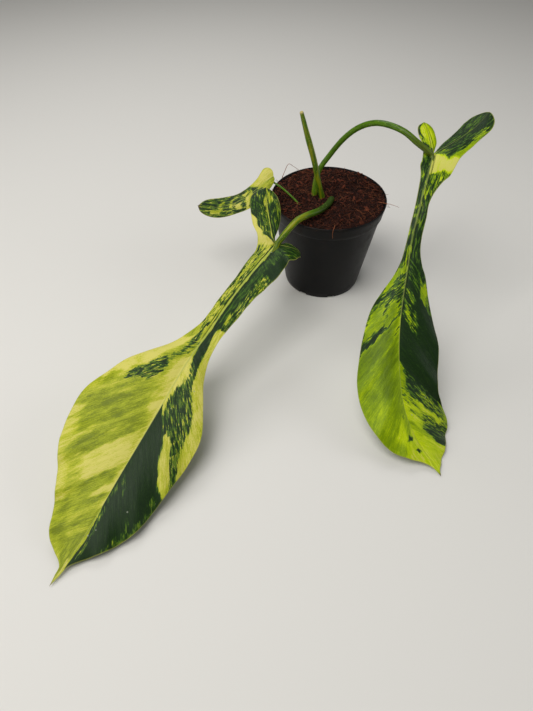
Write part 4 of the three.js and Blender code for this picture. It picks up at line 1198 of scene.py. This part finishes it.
class OBJECT_OT_add_soil(bpy.types.Operator):
    """Makes the damp soil with its crumbs, bark chips and coir fibres"""
    bl_idname = "object.add_potting_soil"
    bl_label = "Soil"

    def execute(self, context):
        settings = context.scene.joepii_soil
        level = settings.level / MM
        edge = inner_radius(level - EDGE_DROP) - GAP
        rings, segments = SOIL_RINGS, SOIL_SEGMENTS
        bottom = FLOOR + GAP
        points, faces = [(0, 0, soil_level(0, 0, level) + crumbly(0, 0))], []
        for i in range(1, rings + 1):
            for k in range(segments):
                a = 2 * math.pi * k / segments
                x, y = edge * i / rings * math.cos(a), edge * i / rings * math.sin(a)
                rough = crumbly(x, y) * (1 if i < rings else EDGE_CRUMBS)
                points.append((x, y, soil_level(x, y, level) + rough))
        for k in range(segments):
            a = 2 * math.pi * k / segments
            low = inner_radius(bottom) - GAP
            points.append((low * math.cos(a), low * math.sin(a), bottom))
        points.append((0, 0, bottom))
        last = len(points) - 1
        for k in range(segments):
            after = (k + 1) % segments
            faces.append((0, 1 + k, 1 + after))
            faces += [(1 + i * segments + k, 1 + (i + 1) * segments + k, 1 + (i + 1) * segments + after,
                    1 + i * segments + after) for i in range(rings)]
            faces.append((last, last - segments + after, last - segments + k))
        peat = earthy("damp_peat", tuple(settings.brown), tuple(settings.chip), 1.7)
        tints = [0.12 + 0.25 * noise.noise(Vector(p) / 6) for p in points]
        soil = mesh_object("soil_bed", points, faces, peat, {"tint": tints})
        top = mesh_object("soil_top", points[:last - segments],
            [f for f in faces if max(f) < last - segments], peat)
        lump = crumb("crumb_lump", (1, .85, .7), 2)
        flake = crumb("chip_flake", (1.9, .8, .34), 5)
        bark = earthy("bark_chip", tuple(settings.brown), tuple(settings.chip), 0.8)
        coir = earthy("coir_fibre", tuple(settings.brown), tuple(settings.fibre), 2.0)
        pieces = []
        for name, tree, inputs in (
                ("soil_crumbs", scatter_tree("crumbs", peat, lump), {
                    "Density": settings.crumbs, "Least size": .0008, "Greatest size": .0028, "Lift": .0002,
                    "Seed": 3, "Darkest": -.1, "Lightest": .42, "Tilt": 3.1}),
                ("bark_chips", scatter_tree("chips", bark, flake), {
                    "Density": 30000.0, "Least size": .0018, "Greatest size": .0052, "Lift": .0008,
                    "Seed": 12, "Darkest": .1, "Lightest": 1.0, "Tilt": .6}),
                ("coir_fibres", fibre_tree(coir), {
                    "Density": float(settings.fibres), "Length": .013, "Radius": .00014, "Curl": .006,
                    "Seed": 6})):
            base = top.copy()
            bpy.context.scene.collection.objects.link(base)
            pieces.append(baked(base, name, tree, inputs))
        for spare in (top, lump, flake):
            bpy.data.objects.remove(spare)
        settle(soil, "potting_mix", "soil")
        for piece in pieces:
            settle(piece, "potting_mix")
        return {"FINISHED"}


# ---- petioles and loose hairs ----

HAIRS = {
    "hair_bent": [(-48, 37, 103), (-45.5, 39, 109), (-42.5, 41, 115.5), (-40.7, 41.6, 117),
                  (-36, 43, 113.5), (-29, 45, 107.5), (-24.5, 45.5, 103.5)],
    "hair_right": [(50, -12, 104.5), (56, -17, 106.3), (62, -21.5, 107.4), (68.5, -25.5, 107)],
    "hair_rim": [(2, -52, 104.5), (.5, -58, 105.4), (-.6, -61, 104.6), (-.9, -61.4, 100),
                 (-.2, -61.2, 95.5)],
}
HAIR_RADII, HAIR_STEPS, HAIR_SIDES, HAIR_SHADE = (.32, .14), 40, 7, "#946748"
ROUNDED = np.array([0, .12, .35, .7, 1.2, 1.9])     # steps that round off a petiole's ends
SWELLING, SWELLING_PLACE, SWELLING_WIDTH = 0.05, 0.93, 0.035     # near the leaf, as shares
ONWARD_TAPER = 0.6


def stalk_tree(name, material):
    """A tube along a curve, whose radius is the curve's own, with its skin's coordinates."""
    tree, add, given = shape_tree(name, {
        "Sides": "Int", "Brown": "Float", "Callus": "Float", "Lime": "Float", "Lime reach": "Float",
        "Lime end": "Float"})
    line = add("GeometryNodeSplineParameter")
    circle = add("GeometryNodeCurvePrimitiveCircle", {"Resolution": given["Sides"], "Radius": 1.0})
    stored = {}
    for label, curve, part in (("run", given["Geometry"], "Length"), ("part", None, "Factor"),
                               ("turn", circle, "Factor")):
        stored[label] = add("GeometryNodeStoreNamedAttribute", {
            0: curve or stored["run"], "Name": label, "Value": line.outputs[part]},
            data_type="FLOAT", domain="POINT")
    radius = add("GeometryNodeInputRadius")
    tube = add("GeometryNodeCurveToMesh", {
        "Curve": stored["part"], "Profile Curve": stored["turn"], "Scale": radius, "Fill Caps": True})
    run, share, turn = (
        add("GeometryNodeInputNamedAttribute", {"Name": label}, data_type="FLOAT") for label in stored)
    late = add("ShaderNodeMapRange", {0: share, 1: 0.72, 2: 0.97, 3: 0.0, 4: given["Brown"]},
        interpolation_type="SMOOTHSTEP")
    length_mm = add("ShaderNodeMath", {0: run, 1: 1000.0}, operation="MULTIPLY")
    skin = add("ShaderNodeCombineXYZ", {0: length_mm, 1: turn, 2: late})
    kept = add("GeometryNodeStoreNamedAttribute", {0: tube, "Name": "skin", "Value": skin},
        data_type="FLOAT_VECTOR", domain="POINT")
    tip = add("ShaderNodeMapRange", {0: share, 1: 0.982, 2: 0.992, 3: 0.0, 4: given["Callus"]})
    marked = add("GeometryNodeStoreNamedAttribute", {0: kept, "Name": "callus", "Value": tip},
        data_type="FLOAT", domain="POINT")
    # Lime stripe strength along the stalk; below zero it is the strength of the painted shade on the skin.
    limed = add("ShaderNodeMapRange", {0: add("ShaderNodeMath", {0: share, 1: given["Lime reach"]},
                operation="SUBTRACT"), 1: -0.25, 2: 0.0, 3: given["Lime"], 4: given["Lime end"]},
        interpolation_type="SMOOTHSTEP")
    striped = add("GeometryNodeStoreNamedAttribute", {0: marked, "Name": "lime", "Value": limed},
        data_type="FLOAT", domain="POINT")
    finish_tree(add, striped, material)
    return tree


def curve_object(name, points, radii):
    """A poly curve through points in millimetres; its points carry their radius in metres."""
    curve = bpy.data.curves.new(name, "CURVE")
    curve.dimensions = "3D"
    spline = curve.splines.new("POLY")
    spline.points.add(len(points) - 1)
    for spot, point, radius in zip(spline.points, points, radii):
        spot.co = (*[float(c) * MM for c in point], 1)
        spot.radius = float(radius) * MM
    return linked(name, curve)


def stalk_line(points, onward, thickness, spacing=1.2):
    """Close points along a petiole and onward under its leaf, and the radius at each, rounded off
    at both ends."""
    line = Line([*points, *onward])
    stalk = Line(points).length
    inner = np.linspace(0, line.length, max(8, round(line.length / spacing)))
    clear = ROUNDED[-1] + .3
    inner = inner[(inner > clear) & (inner < line.length - clear)]
    along = np.unique(np.concatenate([ROUNDED, inner, line.length - ROUNDED]))
    foot, middle, end = thickness
    share = along / stalk
    radius = np.interp(share, (0, .25, .75, 1), (foot, middle, middle, end)) / 2
    radius *= 1 + SWELLING * np.exp(-((share - SWELLING_PLACE) / SWELLING_WIDTH) ** 2)
    if onward:
        radius *= np.interp(along, (stalk, line.length), (1, ONWARD_TAPER))
    near_end = np.minimum(along, line.length - along)
    reach = 0.5 * radius
    radius *= np.sqrt(np.clip(1 - (1 - np.clip(near_end / reach, 0, 1)) ** 2, 0.02, 1))
    return line.at(along), radius


class OBJECT_OT_add_petioles(bpy.types.Operator):
    """Makes the four petioles and the three loose hairs"""
    bl_idname = "object.add_petioles"
    bl_label = "Petioles and hairs"

    def execute(self, context):
        settings = context.scene.joepii_petioles
        skin = petiole_skin(settings)
        tree = stalk_tree("petiole", skin)
        for name, petiole in PETIOLES.items():
            points, radii = stalk_line(petiole["points"], petiole["onward"], petiole["thickness"])
            source = curve_object(name + "_line", points, radii)
            marks = {key: petiole.get(key.lower(), 0.0) for key in ("Brown", "Callus", "Lime", "Lime reach",
                    "Lime end")}
            stalk = baked(source, name + "_stalk", tree, {"Sides": settings.sides, **marks})
            settle(stalk, "petiole_skin", name)
        soil = context.scene.joepii_soil
        coir = earthy("coir_hair", tuple(soil.fibre), colour(HAIR_SHADE), 3.0)
        hair_tree = stalk_tree("hair", coir)
        for name, points in HAIRS.items():
            line = Line(points)
            along = np.linspace(0, line.length, HAIR_STEPS)
            source = curve_object(name + "_line", line.at(along),
                np.interp(along, (0, line.length), HAIR_RADII))
            hair = baked(source, name, hair_tree, {"Sides": HAIR_SIDES,
                    **dict.fromkeys(("Brown", "Callus", "Lime", "Lime reach"), 0.0)})
            settle(hair, "potting_mix")
        return {"FINISHED"}


# ---- the leaves ----

class OBJECT_OT_add_leaves(bpy.types.Operator):
    """Makes the three variegated leaves"""
    bl_idname = "object.add_variegated_leaves"
    bl_label = "Leaves"

    def execute(self, context):
        settings = context.scene.joepii_leaves
        tissue = (settings.olive, settings.lime, settings.yellow, settings.cream)
        usual = list(zip(LIGHT_STEPS, map(tuple, tissue)))
        for name, leaf in LEAVES.items():
            shades = [(place, colour(text)) for place, text in leaf.get("shades", ())] or usual
            # The second of these is the strength of the painted shade in the trough beside the waist's
            # midrib.
            usuals = (("veil", 0.24), ("trough_shade", 0.6), ("rib_line", 0.55))
            strengths = [leaf.get(key, default) for key, default in usuals]
            material = leaf_blade(name + "_blade", settings, shades, *strengths)
            points, faces, attributes = leaf_mesh(leaf, settings.thickness / MM,
                settings.side_vein_spacing / MM)
            blade = mesh_object(name + "_blade", points, faces, material, attributes)
            settle(blade, "leaf_blade", name)
        return {"FINISHED"}


# ---- the stage ----

# Name, place, target and size in metres, power in watts, and tint.
LIGHTS = (
    ("key_box", (-0.45, -0.5, 1.35), (-0.05, -0.15, 0.05), (0.9, 0.8), 14, (1, .99, .97)),
    ("back_box", (-0.3, 0.7, 1.0), (-0.05, -0.15, 0.05), (0.8, 0.5), 4, (1, 1, 1)),
    ("left_box", (-1.1, -0.5, 0.8), (-0.05, -0.15, 0.05), (0.7, 0.7), 4, (1, .98, .95)),
    ("right_box", (1.1, -0.2, 0.6), (0, -0.15, 0.08), (0.6, 0.8), 3, (.96, .98, 1)),
)
FLOOR_HALF = 9000
CAMERA_PLACE = (-0.0649, -0.4916, 0.4121)     # in metres
SENSOR_WIDTH = 36
AIR, AIR_STRENGTH = "#e9e9e6", 0.13


def area_light(name, place, target, size, watts, tint):
    """A soft box at a place in metres, aimed at a target."""
    data = bpy.data.lights.new(name, "AREA")
    data.shape = "RECTANGLE"
    data.size, data.size_y = size
    data.energy = watts
    data.color = tint
    lamp = linked(name, data)
    lamp.location = place
    lamp.rotation_mode = "QUATERNION"
    lamp.rotation_quaternion = (Vector(target) - Vector(place)).to_track_quat("-Z", "Y")


class OBJECT_OT_add_studio(bpy.types.Operator):
    """Makes the pale floor, the soft lights and the camera"""
    bl_idname = "object.add_plant_studio"
    bl_label = "Studio"

    def execute(self, context):
        scene = context.scene
        settings = scene.joepii_stage
        material, _, shader = new_material("matt_paper")
        feed(shader, {"Base Color": tuple(settings.floor), "Roughness": 0.9})
        corners = [(x * FLOOR_HALF, y * FLOOR_HALF, 0) for x, y in ((-1, -1), (1, -1), (1, 1), (-1, 1))]
        floor = mesh_object("studio_floor", corners, [(0, 1, 2, 3)], material)
        for light in LIGHTS:
            area_light(*light)
        world = bpy.data.worlds.new("studio_air")
        world.use_nodes = True
        feed(world.node_tree.nodes["Background"], {"Color": colour(AIR), "Strength": AIR_STRENGTH})
        scene.world = world
        scene.view_settings.view_transform = "Standard"
        lens = bpy.data.cameras.new("photo_camera")
        lens.lens, lens.sensor_width, lens.sensor_fit = settings.lens, SENSOR_WIDTH, "AUTO"
        lens.clip_start, lens.clip_end = 0.02, 50
        camera = linked("photo_camera", lens)
        camera.location = CAMERA_PLACE
        camera.rotation_euler = (math.pi / 2 - settings.pitch, 0, 0)
        scene.camera = camera
        return {"FINISHED"}


# ---- the panel ----

SETTINGS = {
    "joepii_pot": PotSettings, "joepii_soil": SoilSettings, "joepii_petioles": PetioleSettings,
    "joepii_leaves": LeafSettings, "joepii_stage": StageSettings,
}
OPERATORS = (OBJECT_OT_add_nursery_pot, OBJECT_OT_add_soil, OBJECT_OT_add_petioles, OBJECT_OT_add_leaves,
             OBJECT_OT_add_studio)


class VIEW3D_PT_joepii(bpy.types.Panel):
    bl_label = "Potted philodendron"
    bl_idname = "VIEW3D_PT_joepii"
    bl_space_type = "VIEW_3D"
    bl_region_type = "UI"
    bl_category = "Joepii"

    def draw(self, context):
        for (key, group), operator in zip(SETTINGS.items(), OPERATORS):
            box = self.layout.box()
            for prop in group.__annotations__:
                box.prop(getattr(context.scene, key), prop)
            box.operator(operator.bl_idname)


CLASSES = (*SETTINGS.values(), *OPERATORS, VIEW3D_PT_joepii)


def register():
    for cls in CLASSES:
        bpy.utils.register_class(cls)
    for key, group in SETTINGS.items():
        setattr(bpy.types.Scene, key, bpy.props.PointerProperty(type=group))


def unregister():
    for key in SETTINGS:
        delattr(bpy.types.Scene, key)
    for cls in reversed(CLASSES):
        bpy.utils.unregister_class(cls)


def main():
    register()
    for operator in OPERATORS:
        group, name = operator.bl_idname.split(".")
        getattr(getattr(bpy.ops, group), name)()


if __name__ == "__main__":
    main()
